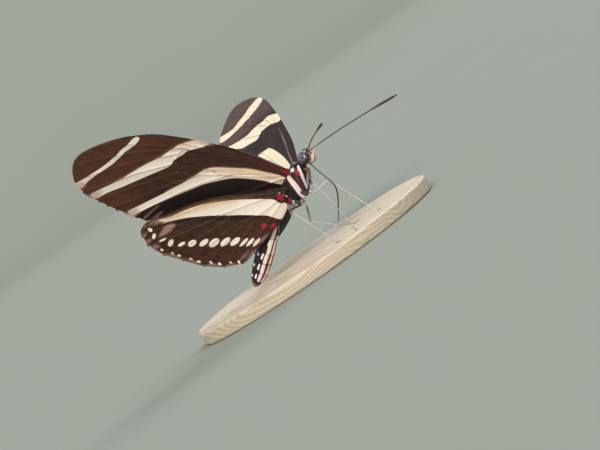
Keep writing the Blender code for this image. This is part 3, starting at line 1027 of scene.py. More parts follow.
        values["lay"] = np.vstack([self.lay(flat, True), self.lay(flat, False)])
        slots = np.concatenate([np.zeros(len(faces)), np.ones(len(faces) + len(walls))])
        return Form(points, np.vstack([faces, faces[:, ::-1] + count, walls]), values, slots)

    def unwrap(self, flat: Array, upper: bool) -> Array:
        """Where flat points lie on the bake map: the upper face below, the under face above."""
        low = np.min(np.array(self.outline)[:, :2], axis=0)
        size = np.ptp(np.array(self.outline)[:, :2], axis=0)
        share = (flat - low) / size
        return share * (1, 0.49) + (0, 0.0 if upper else 0.505)

    def lay(self, flat: Array, upper: bool) -> Array:
        """Where flat points lie on the pattern of scales."""
        depth = np.full(len(flat), 0.0 if upper else UNDER_LAY)
        return np.stack([flat[:, 1], flat[:, 0], depth], axis=1)

    def roots(self, flat: Array, away: Array, height: Array, upper: bool, marked_at: Array) -> Roots:
        """Roots of tufts on one face.

        Args:
            flat: The flat points that they grow from.
            away: The way each lies, along the wing.
            height: How far each stands over the wing's middle.
            upper: Whether they grow on the upper face.
            marked_at: The flat points whose markings they take.

        Returns:
            The roots, without the veins' colour.
        """
        span, lead, up = self.axes()
        lie = away[:, :1] * span + away[:, 1:] * lead
        out = np.broadcast_to(up if upper else -up, lie.shape)
        values = self.values(marked_at, upper)
        values[Tint.VEIN.value] = np.full(len(flat), FAR_OUTSIDE)
        values["lay"] = self.lay(flat, upper)
        return Roots(self.place(flat, height), out, lie, self.unwrap(flat, upper), values)

    def fringe(self, rng: Rng) -> Form:
        """The scales that stand out from the wing's edge, in three rows."""
        edge, outward, reach = self.rim()
        closed = np.vstack([edge, edge[:1]])
        way = way_along(closed)
        pale = np.array(self.fringe_pale)
        forms = []
        for upper, spacing, factor in self.fringe_rows:
            at = np.arange(0.0, way[-1], spacing)
            at = np.clip(at + rng.uniform(-0.02, 0.02, len(at)), 0.0, way[-1] - 1e-6)
            spot = np.searchsorted(way, at, side="right") - 1
            share = (at - way[spot]) / (way[spot + 1] - way[spot])
            flat, away, length = (along_ring(grid, spot, share) for grid in (edge, outward, reach))
            keep = length > 0.04
            flat, away, length = flat[keep], unit(away[keep]), length[keep]
            start = flat - away * 0.05
            height = np.full(len(flat), (0.25 if upper else -0.25) * self.half_thick)
            roots = self.roots(start, away, height, upper, start - away * 0.25)
            gap = np.min(np.linalg.norm(flat[:, None] - pale[None], axis=2), axis=1)
            roots.values[Tint.CREAM.value] = np.maximum(roots.values[Tint.CREAM.value], 0.75 - gap)
            form = FRINGE_SCALES.grow(roots, rng, length * factor * 1.02)
            form.slots = np.full(len(form.faces), 0 if upper else 1)
            forms.append(form)
        return joined(forms)

    def base_hair(self, rng: Rng) -> Form:
        """Long soft scales over the wing's root and down its inner part, on both faces."""
        edge, _, _ = self.rim()
        low, high = edge.min(axis=0), edge.max(axis=0)
        forms = []
        for upper in (True, False):
            flat = rng.uniform(low, high, (60000, 2))
            reach = self.hair_reach * rng.uniform(0.15, 1.0, len(flat)) ** 1.5
            keep = (np.linalg.norm(flat, axis=1) < reach) & (rng.uniform(size=len(flat)) < 0.5)
            flat = flat[keep]
            flat = flat[depth_inside(flat, edge) > 0.25][:WING_ROOT_HAIR.count]
            sign = 1.0 if upper else -1.0
            height = sign * (self.half_thick + self.vein_profile(flat)[1]) - 0.03
            roots = self.roots(flat, unit(flat + (1.5, 0.0)), height, upper, flat)
            fade = 1.15 - 0.6 * np.linalg.norm(flat, axis=1) / self.hair_reach
            form = WING_ROOT_HAIR.grow(roots, rng, fade)
            form.slots = np.full(len(form.faces), 0 if upper else 1)
            forms.append(form)
        return joined(forms)


def forewing_rise(span: Array) -> Array:
    """The forewing's shallow arch, 0.5 mm over its 43 mm."""
    return 0.5 * np.sin(math.pi * np.clip(span, 0, 43.0) / 43.0)


def hindwing_rise(span: Array) -> Array:
    """The hindwing's fold towards the body, 0.8 mm at its root."""
    return -0.8 * np.exp(-(span / 3.5) ** 2)


CELL_BAND = Band((
    (0.0, -1.0), (3.5, 0.1), (7.5, 0.9), (11.5, 1.1), (14.4, 1.05), (16.1, 0.65), (18.4, -0.9), (21.3, -3.25),
    (25.3, -6.0), (29.3, -8.6), (31.7, -10.2), (30.7, -11.2), (29.0, -10.0), (26.3, -8.25), (22.3, -6.15),
    (18.3, -3.95), (15.4, -2.65), (11.4, -1.5), (7.4, -1.4), (5.2, -1.7), (3.0, -2.2), (0.8, -2.65),
    (-0.6, -2.7)))
MEDIAN_BAND = Band((
    (19.0, 7.6), (21.5, 6.7), (23.1, 5.5), (25.3, 3.65), (29.3, 0.9), (33.2, -1.95), (36.3, -3.95),
    (39.2, -5.8), (38.2, -6.7), (35.3, -5.1), (31.3, -3.1), (27.3, -0.85), (24.7, 0.55), (23.3, 1.5),
    (22.6, 2.85), (21.0, 4.1), (19.8, 5.3), (17.5, 5.95), (15.7, 7.0), (17.2, 7.5)))
SUBAPICAL_BAND = Band((
    (30.8, 8.0), (32.1, 6.3), (33.4, 5.0), (33.9, 4.2), (36.3, 1.55), (39.3, -0.85), (42.1, -3.05),
    (41.3, -4.3), (39.4, -2.2), (37.3, -0.25), (34.9, 1.7), (33.2, 3.7), (32.5, 4.7), (31.1, 5.8),
    (29.9, 7.2), (29.5, 8.1), (30.0, 8.5)))
UPPER_MEDIAN_BAND = Band((
    (17.6, 8.0), (20.5, 7.3), (22.6, 6.3), (23.7, 5.0), (26.0, 3.4), (27.9, 1.2), (30.7, -0.9), (35.6, -3.6),
    (38.5, -5.4), (37.5, -6.4), (34.5, -4.9), (30.9, -3.1), (28.5, -2.3), (25.7, -0.7), (22.9, 1.0),
    (22.2, 3.0), (20.1, 5.0), (18.6, 5.7), (16.1, 6.9)))
UPPER_SUBAPICAL_BAND = Band((
    (30.8, 8.6), (33.2, 6.3), (34.2, 4.5), (35.4, 2.4), (37.4, -0.1), (40.4, -1.9), (42.0, -3.0),
    (40.9, -4.0), (37.6, -2.3), (35.4, -0.2), (33.7, 1.4), (32.5, 2.9), (31.1, 4.3), (29.6, 6.3),
    (28.4, 8.8)))
HIND_BAND = Band((
    (-1.3, -3.6), (0.2, -3.9), (1.6, -3.6), (5.9, -5.2), (9.6, -6.6), (13.2, -8.3), (16.7, -10.7),
    (20.0, -13.7), (21.9, -15.1), (21.3, -15.5), (18.8, -14.0), (16.1, -12.6), (12.4, -11.0), (8.6, -9.8),
    (4.8, -8.5), (2.0, -7.5), (0.6, -7.3), (-1.3, -7.3), (-2.0, -5.6)))

FOREWING = WingPlan(
    kind="forewing", root=(1.5, -1.8, 1.0), dihedral=52.5, sweep=16.0, twist=-11.0, rise=forewing_rise,
    outline=(
        (-0.7, 0.7, 0.0), (0.0, 0.9, 0.05), (3.6, 3.0, 0.08), (7.8, 5.0, 0.08), (15.6, 7.2, 0.08),
        (22.5, 8.6, 0.08), (27.5, 9.1, 0.08), (33.4, 8.2, 0.1), (39.3, 5.7, 0.15), (42.2, 3.2, 0.25),
        (42.9, -0.1, 0.32), (41.9, -4.1, 0.35), (39.3, -6.7, 0.35), (35.3, -9.3, 0.35), (31.3, -11.3, 0.35),
        (27.0, -12.9, 0.35), (20.0, -11.7, 0.35), (13.0, -9.6, 0.35), (7.0, -7.0, 0.35), (2.6, -4.6, 0.3),
        (0.4, -2.9, 0.15), (-0.7, -2.2, 0.0)),
    veins=(
        ((0.3, 0.6), (8.0, 3.8), (18.0, 6.3), (26.5, 8.6)),
        ((0.3, 0.2), (8.0, 2.9), (16.0, 4.9), (21.0, 5.6), (29.0, 6.6), (36.5, 6.7)),
        ((21.0, 5.6), (31.0, 4.6), (41.6, 1.9)),
        ((21.0, 5.6), (22.2, 3.2), (21.0, 0.0), (17.5, -0.6), (8.0, -0.8), (0.3, -0.5)),
        ((22.0, 4.4), (31.0, 2.2), (41.9, -2.0)), ((22.2, 2.2), (31.0, -0.9), (40.4, -5.2)),
        ((21.0, 0.0), (29.0, -3.2), (37.9, -7.2)), ((17.5, -0.6), (26.0, -4.6), (34.6, -9.3)),
        ((12.0, -0.7), (20.0, -4.4), (30.6, -11.0)), ((0.3, -0.8), (7.0, -4.0), (16.0, -8.2), (25.6, -12.0))),
    marks=(
        Mark(Tint.CREAM, (CELL_BAND,)),
        Mark(Tint.CREAM, (MEDIAN_BAND, SUBAPICAL_BAND), upper=False),
        Mark(Tint.CREAM, (UPPER_MEDIAN_BAND, UPPER_SUBAPICAL_BAND), under=False),
        Mark(Tint.GOLD, (
            Streak(((15.6, 7.2), (18.5, 7.6), (21.6, 6.8), (23.3, 5.6), (25.4, 3.9), (29.4, 1.15),
                    (33.3, -1.7), (37.0, -4.2)), 0.2, 0.3),
            Streak(((16.2, 0.8), (18.6, -0.75), (21.4, -3.1), (24.3, -5.2)), 0.14, 0.6)), upper=False),
        Mark(Tint.BROWN, (
            Streak(((17.0, -0.4), (15.2, 0.25), (13.4, -0.7), (10.4, -0.55), (7.4, -0.2), (3.5, -0.3)),
                   0.1, 0.7),
            Streak(((16.6, 0.75), (15.3, 0.3), (12.5, 0.35)), 0.08, 0.5),
            Streak(((31.5, 4.9), (32.9, 4.6), (34.2, 4.3)), 0.09, 0.9),
            Streak(((19.4, 5.4), (21.2, 5.8), (23.0, 5.7)), 0.1, 0.9)), upper=False),
        Mark(Tint.PEACH, (
            Band(((-0.6, -1.5), (3.5, 0.3), (8.0, 1.3), (14.5, 1.3), (16.5, 0.4), (13.0, -0.2), (8.0, -0.5),
                  (4.0, -1.2), (1.0, -2.0), (-0.6, -2.2))),
            Streak(((15.9, 7.1), (18.5, 7.3), (21.3, 6.5)), 0.45, 0.8)), upper=False),
        Mark(Tint.ROSE, (
            # The four spots where the cream bands end are a painted pink-lilac sheen.
            Spot(31.0, -10.8, 1.9, 0.9, -35), Spot(38.8, -6.4, 2.4, 0.9, -35),
            Spot(41.6, -3.8, 1.6, 0.9, -35), Spot(16.4, 7.2, 1.6, 0.5, 8),
            Streak(((28.2, -11.7), (26.94, -10.1), (25.5, -8.6)), 0.15),
            Streak(((27.1, -12.6), (26.3, -11.5), (25.2, -10.4)), 0.13),
            Streak(((26.3, -12.3), (25.4, -11.0), (24.7, -10.1)), 0.09),
            Streak(((30.0, -12.3), (28.9, -12.3)), 0.22),
            Streak(((-0.4, 1.05), (2.1, 2.2), (4.4, 3.3), (6.6, 4.35), (10.0, 5.6)), 0.02, 0.3)),
             upper=False),
        Mark(Tint.ROSE, (
            Streak(((1.5, 0.3), (5.1, 1.5), (8.1, 2.8), (11.8, 4.2), (15.3, 5.5)), 0.24, 0.5),), under=False),
        Mark(Tint.WINE, (
            Band(((-0.8, 0.9), (3.0, 2.6), (5.6, 3.7), (7.4, 4.2), (6.4, 2.8), (3.6, 1.1), (0.0, -0.9))),
            Spot(34.0, -9.4, 1.6, 0.5, -25)), upper=False),
        Mark(Tint.RED, (
            Streak(((-0.8, 0.1), (0.1, 0.5), (0.9, 0.85), (1.7, 1.3)), 0.42, 0.02),), upper=False),
        # The first black band, where the hindwing overlaps the forewing's under face, is partly its dark
        # scales and partly painted shadow of the hindwing.
        Mark(Tint.BLACK, (
            Band(((-0.6, -2.9), (3.4, -2.4), (8.0, -1.6), (11.4, -1.8), (15.4, -2.9), (20.0, -5.2),
                  (25.0, -8.1), (30.0, -11.3), (27.0, -13.4), (20.0, -12.2), (13.0, -10.1), (7.0, -7.5),
                  (2.0, -4.6))),
            Streak(((3.0, 2.8), (8.0, 5.0), (16.0, 7.3), (22.5, 8.7), (28.0, 9.2), (33.4, 8.3)), 0.42, 0.8),
            Streak(((6.0, 2.1), (12.0, 3.7), (18.0, 5.0), (20.8, 5.2)), 0.22, 0.9)), upper=False),
        Mark(Tint.HAZE, (
            Band(((20.0, 12.0), (27.0, 4.0), (31.0, -4.0), (26.0, -16.0), (46.0, -16.0), (48.0, 12.0))),)),
    ),
    fringe_pale=((41.2, -4.6), (38.2, -7.3), (36.6, -8.4), (34.9, -9.5), (33.0, -10.4), (31.0, -11.4),
                 (29.0, -12.3), (27.2, -12.9)),
    hair_reach=5.0)

HINDWING = WingPlan(
    kind="hindwing", root=(-0.5, -2.1, 0.4), dihedral=53.0, sweep=0.0, twist=0.0, rise=hindwing_rise,
    outline=(
        (-0.4, -0.2, 0.0), (2.6, -1.9, 0.05), (10.0, -5.4, 0.08), (16.0, -9.0, 0.12), (21.9, -14.2, 0.25),
        (24.2, -16.2, 0.35), (24.8, -18.3, 0.38), (23.9, -20.1, 0.34), (22.3, -21.4, 0.38),
        (20.8, -21.8, 0.32), (19.0, -22.6, 0.38), (17.0, -22.0, 0.32), (15.0, -22.6, 0.38),
        (12.7, -22.1, 0.32), (10.6, -22.8, 0.38), (8.4, -21.6, 0.32), (6.5, -21.9, 0.38), (5.0, -20.4, 0.32),
        (3.6, -20.3, 0.36), (2.2, -18.5, 0.36), (1.2, -15.4, 0.34), (0.3, -13.0, 0.34), (-1.0, -9.7, 0.3),
        (-1.8, -6.3, 0.22), (-1.7, -3.0, 0.08)),
    veins=(
        ((-0.2, -1.2), (5.0, -4.0), (13.0, -8.2), (23.4, -16.6)),
        ((-0.2, -1.6), (5.0, -5.6), (9.0, -9.0), (16.0, -13.6), (24.0, -18.9)),
        ((9.0, -9.0), (14.5, -14.6), (21.6, -21.0)), ((8.4, -10.6), (12.6, -15.8), (17.4, -21.9)),
        ((9.0, -9.0), (8.4, -10.6), (6.8, -11.6)),
        ((-0.3, -2.0), (3.0, -7.4), (6.8, -11.6), (10.0, -16.4), (13.2, -21.9)),
        ((4.9, -9.8), (7.4, -15.2), (9.6, -22.0)), ((3.0, -7.4), (4.6, -13.6), (6.1, -21.0)),
        ((-0.5, -2.4), (0.9, -8.4), (2.0, -13.6), (3.3, -19.0))),
    marks=(
        Mark(Tint.CREAM, (
            HIND_BAND,
            Spot(22.95, -17.6, 0.52, 0.38, 20), Spot(21.8, -18.75, 0.68, 0.36, 84),
            Spot(19.9, -19.0, 0.98, 0.22, 135), Spot(18.15, -19.2, 0.9, 0.52, 95),
            Spot(16.0, -18.87, 0.85, 0.34, 131), Spot(14.0, -18.02, 1.0, 0.62, 125),
            Spot(11.8, -17.2, 1.12, 0.54, 121), Spot(9.8, -16.6, 1.26, 0.76, 119),
            Spot(7.7, -15.75, 1.28, 0.62, 118), Spot(5.86, -15.1, 1.28, 0.56, 117),
            Spot(4.17, -14.67, 1.28, 0.34, 113), Spot(2.98, -14.2, 1.22, 0.3, 110),
            Spot(1.77, -13.7, 1.2, 0.34, 108),
            Spot(19.4, -21.25, 0.36, 0.26, 20), Spot(17.15, -21.35, 0.34, 0.22),
            Spot(15.7, -21.5, 0.38, 0.26), Spot(13.2, -21.5, 0.4, 0.24),
            Spot(11.5, -21.65, 0.44, 0.27), Spot(9.1, -21.1, 0.42, 0.28, 30),
            Spot(7.3, -20.9, 0.42, 0.28, 30), Spot(5.3, -19.9, 0.36, 0.24, 40),
            Spot(3.75, -19.25, 0.46, 0.24, 50), Spot(1.75, -16.4, 0.5, 0.12, 70),
            Spot(0.8, -1.78, 0.2, 0.14), Spot(-0.1, -1.83, 0.16, 0.12), Spot(-0.83, -2.07, 0.22, 0.16))),
        Mark(Tint.ROSE, (
            Band(((20.3, -16.0), (19.4, -15.2), (18.5, -14.9), (18.9, -16.4), (19.7, -17.6), (20.8, -18.6),
                  (20.7, -17.4))),
            Spot(0.67, -12.5, 0.95, 0.28, 108), Spot(-0.45, -11.3, 0.8, 0.16, 108),
            Spot(2.0, -16.8, 0.85, 0.17, 112), Spot(3.2, -17.6, 0.7, 0.12, 112),
            Spot(24.5, -16.9, 0.55, 0.3, 70), Spot(23.65, -19.2, 0.48, 0.22, 110),
            Spot(22.5, -20.1, 0.5, 0.26, 120), Spot(20.7, -20.85, 0.5, 0.3, 160),
            Spot(22.1, -15.6, 0.75, 0.28, 120), Spot(22.9, -15.8, 0.6, 0.12, 120),
            Streak(((24.6, -17.4), (24.5, -18.6), (23.6, -20.0), (22.2, -21.0), (20.8, -21.4), (19.0, -22.1),
                    (17.0, -21.6), (15.0, -22.1), (12.7, -21.7), (10.6, -22.3), (8.4, -21.3), (6.5, -21.4),
                    (5.0, -20.1), (3.6, -19.9), (2.4, -18.3), (1.5, -15.4)), 0.07, 0.8)), upper=False),
        Mark(Tint.BROWN, (
            Streak(((5.5, -4.75), (9.6, -6.35), (13.2, -8.05), (16.7, -10.45), (20.0, -13.4)), 0.22, 0.6),
            Spot(20.9, -20.7, 0.7, 0.4, 160), Spot(21.5, -15.5, 0.8, 0.3, -30)), upper=False),
        Mark(Tint.PEACH, (
            Band(((8.0, -5.8), (13.2, -7.9), (17.0, -10.6), (21.9, -15.0), (20.9, -15.3), (15.5, -11.2),
                  (11.0, -8.1), (8.0, -6.5))),), upper=False),
        Mark(Tint.RED, (
            Spot(1.5, -9.8, 0.66, 0.42, 100), Spot(-0.2, -9.15, 0.6, 0.38, 105),
            Spot(0.75, -2.35, 0.4, 0.34, 60), Spot(0.05, -2.85, 0.42, 0.32, 20),
            Spot(0.0, -2.3, 0.3, 0.24), Spot(0.75, -2.95, 0.3, 0.2),
            Spot(2.8, -2.02, 0.34, 0.24, -30), Spot(-1.8, -3.7, 0.55, 0.3, 80)), upper=False),
        Mark(Tint.BLACK, (
            Band(((-1.4, -0.4), (3.0, -1.6), (10.0, -4.8), (16.0, -8.4), (21.9, -13.6), (20.0, -12.4),
                  (14.0, -7.8), (8.0, -4.9), (3.0, -3.0), (-1.4, -3.5))),
            Streak(((3.0, -8.2), (8.6, -10.5), (12.4, -11.6), (16.1, -13.2), (20.5, -15.6)), 0.5, 0.6)),
             upper=False),
    ),
    fringe_pale=((23.4, -20.5), (21.4, -21.7), (19.6, -22.3), (17.0, -22.0), (15.6, -22.4), (12.7, -22.1),
                 (11.0, -22.6), (8.6, -21.7), (7.0, -21.8), (5.0, -20.4), (3.9, -20.3)),
    hair_reach=7.0)


# Stripes and spots of scales on the body, the same on both sides. Each point gives the
# distance forward, the angle from the back in degrees and half the width there.
BODY_MARKS: dict[Tint, tuple[tuple[Point, ...], ...]] = {
    Tint.CREAM: (
        ((3.9, 96, 0.22), (3.5, 119, 0.3), (2.9, 138, 0.33), (2.35, 151, 0.33), (1.6, 163, 0.31),
         (0.95, 171, 0.27), (0.2, 178, 0.18)),
        ((1.1, 76, 0.46), (0.6, 101, 0.52), (0.3, 112, 0.54), (-0.1, 124, 0.55), (-0.6, 137, 0.54),
         (-1.0, 148, 0.5), (-1.4, 160, 0.42), (-1.7, 171, 0.28)), ((-2.65, 91, 0.28),),
        ((-3.2, 30, 0.3),), ((-2.1, 58, 0.28),), ((-2.67, 170, 0.38),),
        ((3.84, 2, 0.26), (3.84, 22, 0.3)), ((2.5, 33, 0.36),), ((2.95, 70, 0.36), (2.75, 76, 0.4)),
        ((0.9, 6, 0.2), (-1.9, 9, 0.16)), ((7.05, 16, 0.25),),
        ((5.05, 40, 0.14), (5.05, 75, 0.2), (5.1, 111, 0.22)), ((-8.6, 82, 0.28),), ((-11.4, 77, 0.3),),
        ((-14.4, 73, 0.32),), ((-17.5, 68, 0.34),), ((-20.2, 57, 0.32),), ((-22.6, 57, 0.28),),
        ((-13.5, 122, 0.18), (-14.7, 119, 0.2)), ((-16.9, 103, 0.18), (-17.9, 101, 0.22)),
        ((-19.4, 98, 0.18), (-20.4, 97, 0.22)), ((-21.8, 95, 0.16), (-22.6, 95, 0.2)),
    ),
    Tint.PEACH: (
        ((1.1, 76, 0.42), (0.6, 101, 0.4), (0.1, 118, 0.3)),
    ),
    Tint.HAZE: (
        ((1.9, 114, 0.3), (1.5, 127, 0.42), (0.9, 142, 0.45), (0.1, 157, 0.4), (-0.7, 170, 0.3)),
        ((-6.5, 150, 0.2), (-10.0, 155, 0.3), (-13.0, 150, 0.3), (-18.0, 146, 0.3), (-23.0, 143, 0.3)),
    ),
    Tint.BLACK: (
        ((-1.0, 101, 0.6), (-1.8, 127, 0.7), (-2.4, 155, 0.5)),
        ((4.5, 60, 0.35), (4.4, 92, 0.3), (4.2, 130, 0.35)), ((2.5, 92, 0.45), (1.9, 97, 0.4)),
    ),
    Tint.RED: (
        ((1.8, 51, 0.28),), ((1.8, 75, 0.36),), ((2.85, 107, 0.38), (2.6, 122, 0.42)),
        ((-3.1, 108, 0.4), (-3.4, 121, 0.42)), ((-5.1, 166, 0.32),),
    ),
    Tint.ROSE: (
        ((-3.4, 136, 0.5), (-3.9, 170, 0.5)),
        ((7.2, 160, 0.34), (6.9, 170, 0.5), (6.2, 175, 0.6), (5.4, 176, 0.5)),
        ((7.2, 100, 0.12), (7.0, 135, 0.14)), ((-7.9, 140, 0.25), (-10.0, 146, 0.3)),
        ((-10.5, 152, 0.3), (-11.3, 148, 0.34), (-12.9, 132, 0.36)),
        ((-13.5, 133, 0.38), (-16.2, 131, 0.36)), ((-16.85, 128, 0.38), (-18.5, 126, 0.36)),
        ((-19.15, 126, 0.37), (-20.9, 126, 0.35)), ((-21.5, 125, 0.34), (-22.9, 125, 0.28)),
        ((-12.6, 175, 0.22), (-12.9, 171, 0.26)), ((-13.4, 166, 0.22), (-16.3, 164, 0.32)),
        ((-16.95, 164, 0.24), (-18.4, 163, 0.32)), ((-19.0, 165, 0.24), (-20.9, 165, 0.32)),
        ((-21.5, 163, 0.24), (-23.2, 160, 0.28)),
    ),
    Tint.BROWN: (
        ((7.6, 80, 0.2), (7.5, 120, 0.3), (7.5, 145, 0.16)),
        ((-24.4, 60, 0.4), (-24.4, 109, 0.45), (-24.3, 150, 0.35)),
    ),
}


@dataclass(frozen=True)
class BodyPlan:
    """The head, thorax and abdomen as one skin.

    Each station gives the distance forward, the middle's height, half the depth and half
    the width. The joints are where the abdomen's plates meet. Each bulge gives its place,
    size and height, and each suture is a groove between plates of the thorax. The skin
    lies inset from the stations, to leave room for its coat. Face, chest and belly are the
    stretches of the three coats, by their front and back ends.
    """

    stations: tuple[Point, ...] = (
        (7.72, -1.2, 0.15, 0.15), (7.55, -1.2, 0.45, 0.45), (7.3, -1.2, 0.95, 0.75),
        (6.8, -1.15, 1.4, 1.05), (6.0, -1.0, 1.55, 1.25), (5.3, -0.85, 1.25, 1.1),
        (4.9, -0.6, 0.82, 0.82), (4.6, -0.55, 0.8, 0.8), (3.7, -0.15, 1.45, 1.45), (2.0, -0.1, 2.3, 2.1),
        (0.0, -0.5, 3.0, 2.35), (-2.0, -0.65, 3.05, 2.3), (-3.5, -0.35, 2.55, 2.0),
        (-4.7, 0.3, 1.75, 1.6), (-5.4, 0.7, 1.05, 1.05), (-5.7, 0.75, 0.95, 0.95),
        (-7.5, 1.15, 1.15, 1.15), (-10.0, 1.35, 1.4, 1.35), (-13.0, 0.85, 1.9, 1.7),
        (-16.6, 0.6, 2.1, 1.85), (-19.5, 0.45, 2.1, 1.8), (-21.8, 0.3, 1.9, 1.6), (-23.6, 0.3, 1.4, 1.25),
        (-24.6, 0.25, 0.85, 0.8), (-24.95, 0.25, 0.3, 0.3))
    joints: tuple[float, ...] = (-6.0, -7.7, -10.2, -13.1, -16.55, -18.8, -21.15, -23.2)
    bulges: tuple[Point, ...] = (
        (-0.5, 0.95, -2.6, 0.75, 0.22), (-3.0, 0.9, -2.2, 0.7, 0.2), (3.3, 0.6, -1.2, 0.6, 0.12),
        (1.9, 1.75, 1.15, 0.75, 0.26), (-1.4, 1.9, 0.9, 0.8, 0.12))
    sutures: tuple[tuple[Point, ...], ...] = (
        ((4.0, 70, 0), (3.0, 112, 0), (2.2, 150, 0)), ((1.75, 85, 0), (1.0, 118, 0), (0.1, 150, 0)),
        ((0.2, 85, 0), (-0.6, 115, 0), (-1.6, 150, 0)), ((-2.3, 80, 0), (-3.0, 115, 0), (-3.5, 150, 0)),
        ((-2.9, 0, 0), (-3.0, 40, 0), (-2.6, 75, 0)), ((3.2, 0, 0), (3.1, 45, 0), (2.7, 80, 0)))
    face: Flat = (7.72, 4.7)
    chest: Flat = (4.85, -5.6)
    belly: Flat = (-5.4, -24.95)
    inset: float = 0.13
    plate_rise: float = 0.1
    fold_depth: float = 0.1
    seam_depth: float = 0.07
    suture_depth: float = 0.09
    row: float = 0.085
    sides: int = 108

    def section(self, forward: Array) -> Array:
        """The body's section, eased between the stations.

        Args:
            forward: The distances forward.

        Returns:
            The middle's height, half depth and half width at each.
        """
        table = np.array(self.stations)
        fine = np.arange(table[-1, 0], table[0, 0], 0.04)
        kernel = np.hanning(17)
        kernel /= kernel.sum()
        columns = []
        for column in table[:, 1:].T:
            values = np.interp(fine, table[::-1, 0], column[::-1])
            soft = np.convolve(np.pad(values, 8, mode="edge"), kernel, mode="valid")
            columns.append(np.interp(forward, fine, soft))
        return np.stack(columns, axis=-1)

    def point(self, forward: Array, angle: Array, out: Array | float = 0.0) -> Array:
        """Body points on the skin or over it.

        Args:
            forward: The distances forward.
            angle: The angles from the back, in degrees.
            out: How far out from the skin.

        Returns:
            The points.
        """
        forward, angle = np.broadcast_arrays(np.asarray(forward, float), np.asarray(angle, float))
        middle, deep, wide = np.moveaxis(self.section(forward), -1, 0)
        turn = np.radians(angle)
        grow = np.asarray(out) - self.inset
        side, above = (wide + grow) * np.sin(turn), middle + (deep + grow) * np.cos(turn)
        return np.stack([forward, side, above], axis=-1)

    def detail(self, points: Array, fold: Array) -> Array:
        """How far the skin's plates, folds and joints stand out.

        Args:
            points: Points on the plain skin.
            fold: Their angle from the back, 0 to 180 on either side.

        Returns:
            The distance outwards at each.
        """
        forward = points[..., 0]
        out = np.zeros(forward.shape)
        for front, back in zip(self.joints, self.joints[1:] + (-25.2,)):
            share = (front - forward) / (front - back)
            slope = self.plate_rise * np.clip(share, 0, 1) ** 1.6 - 0.04
            out += np.where((share >= 0) & (share < 1), slope, 0.0)
        # A soft fold runs along each side of the abdomen, and a seam down the back.
        belly = smooth_step((-6.5 - forward) / 2.0)
        out -= self.fold_depth * belly * np.exp(-((fold - 113.0) / 6.0) ** 2)
        chest = smooth_step((forward + 3.2) / 0.8) * smooth_step((3.2 - forward) / 0.8)
        out -= self.seam_depth * chest * np.exp(-(fold / 6.0) ** 2)
        flat = np.abs(points.reshape(-1, 3) * (0, 1, 0)) + points.reshape(-1, 3) * (1, 0, 1)
        for x, y, z, size, tall in self.bulges:
            gap = np.linalg.norm(flat - (x, y, z), axis=1).reshape(out.shape)
            out += tall * np.exp(-(gap / size) ** 2 * 1.6)
        for suture in self.sutures:
            line = np.array([self.point(x, a) for x, a, _ in suture])
            gap, _ = line_distance(flat, curve_through(line, 0.3))
            out -= self.suture_depth * np.exp(-(gap.reshape(out.shape) / 0.13) ** 2)
        return out

    def skin(self) -> Sleeve:
        """The whole skin with its markings, from the face to the tip of the abdomen."""
        forward = np.arange(self.stations[0][0], self.stations[-1][0], -self.row)[:, None]
        angle = -180.0 + 360.0 * np.arange(self.sides)[None] / self.sides
        fold = np.abs(angle) + np.zeros(forward.shape)
        plain = self.point(forward, angle)
        rings = self.point(forward, angle, self.detail(plain, fold))
        flat = plain.reshape(-1, 3) * np.where(plain.reshape(-1, 3)[:, 1:2] < 0, (1, -1, 1), (1, 1, 1))
        values = {}
        for tint in Tint:
            depth = np.full(len(flat), FAR_OUTSIDE)
            for points in BODY_MARKS.get(tint, ()):
                knots = np.array(points, float)
                if len(knots) == 1:
                    knots = np.vstack([knots, knots + (0.01, 0.0, 0.0)])
                fine = curve_through(knots * (1.0, 0.03, 1.0), 0.4) / (1.0, 0.03, 1.0)
                gap, share = line_distance(flat, self.point(fine[:, 0], fine[:, 1]))
                half = np.interp(share, np.linspace(0, 1, len(fine)), fine[:, 2])
                depth = np.maximum(depth, half - gap)
            values[tint.value] = depth.reshape(fold.shape)
        around = np.radians(angle) * 1.9 + np.zeros(forward.shape)
        values["lay"] = np.stack([around, -forward + np.zeros(fold.shape), np.zeros(fold.shape)], axis=-1)
        return Sleeve(rings, values)


BODY = BodyPlan()


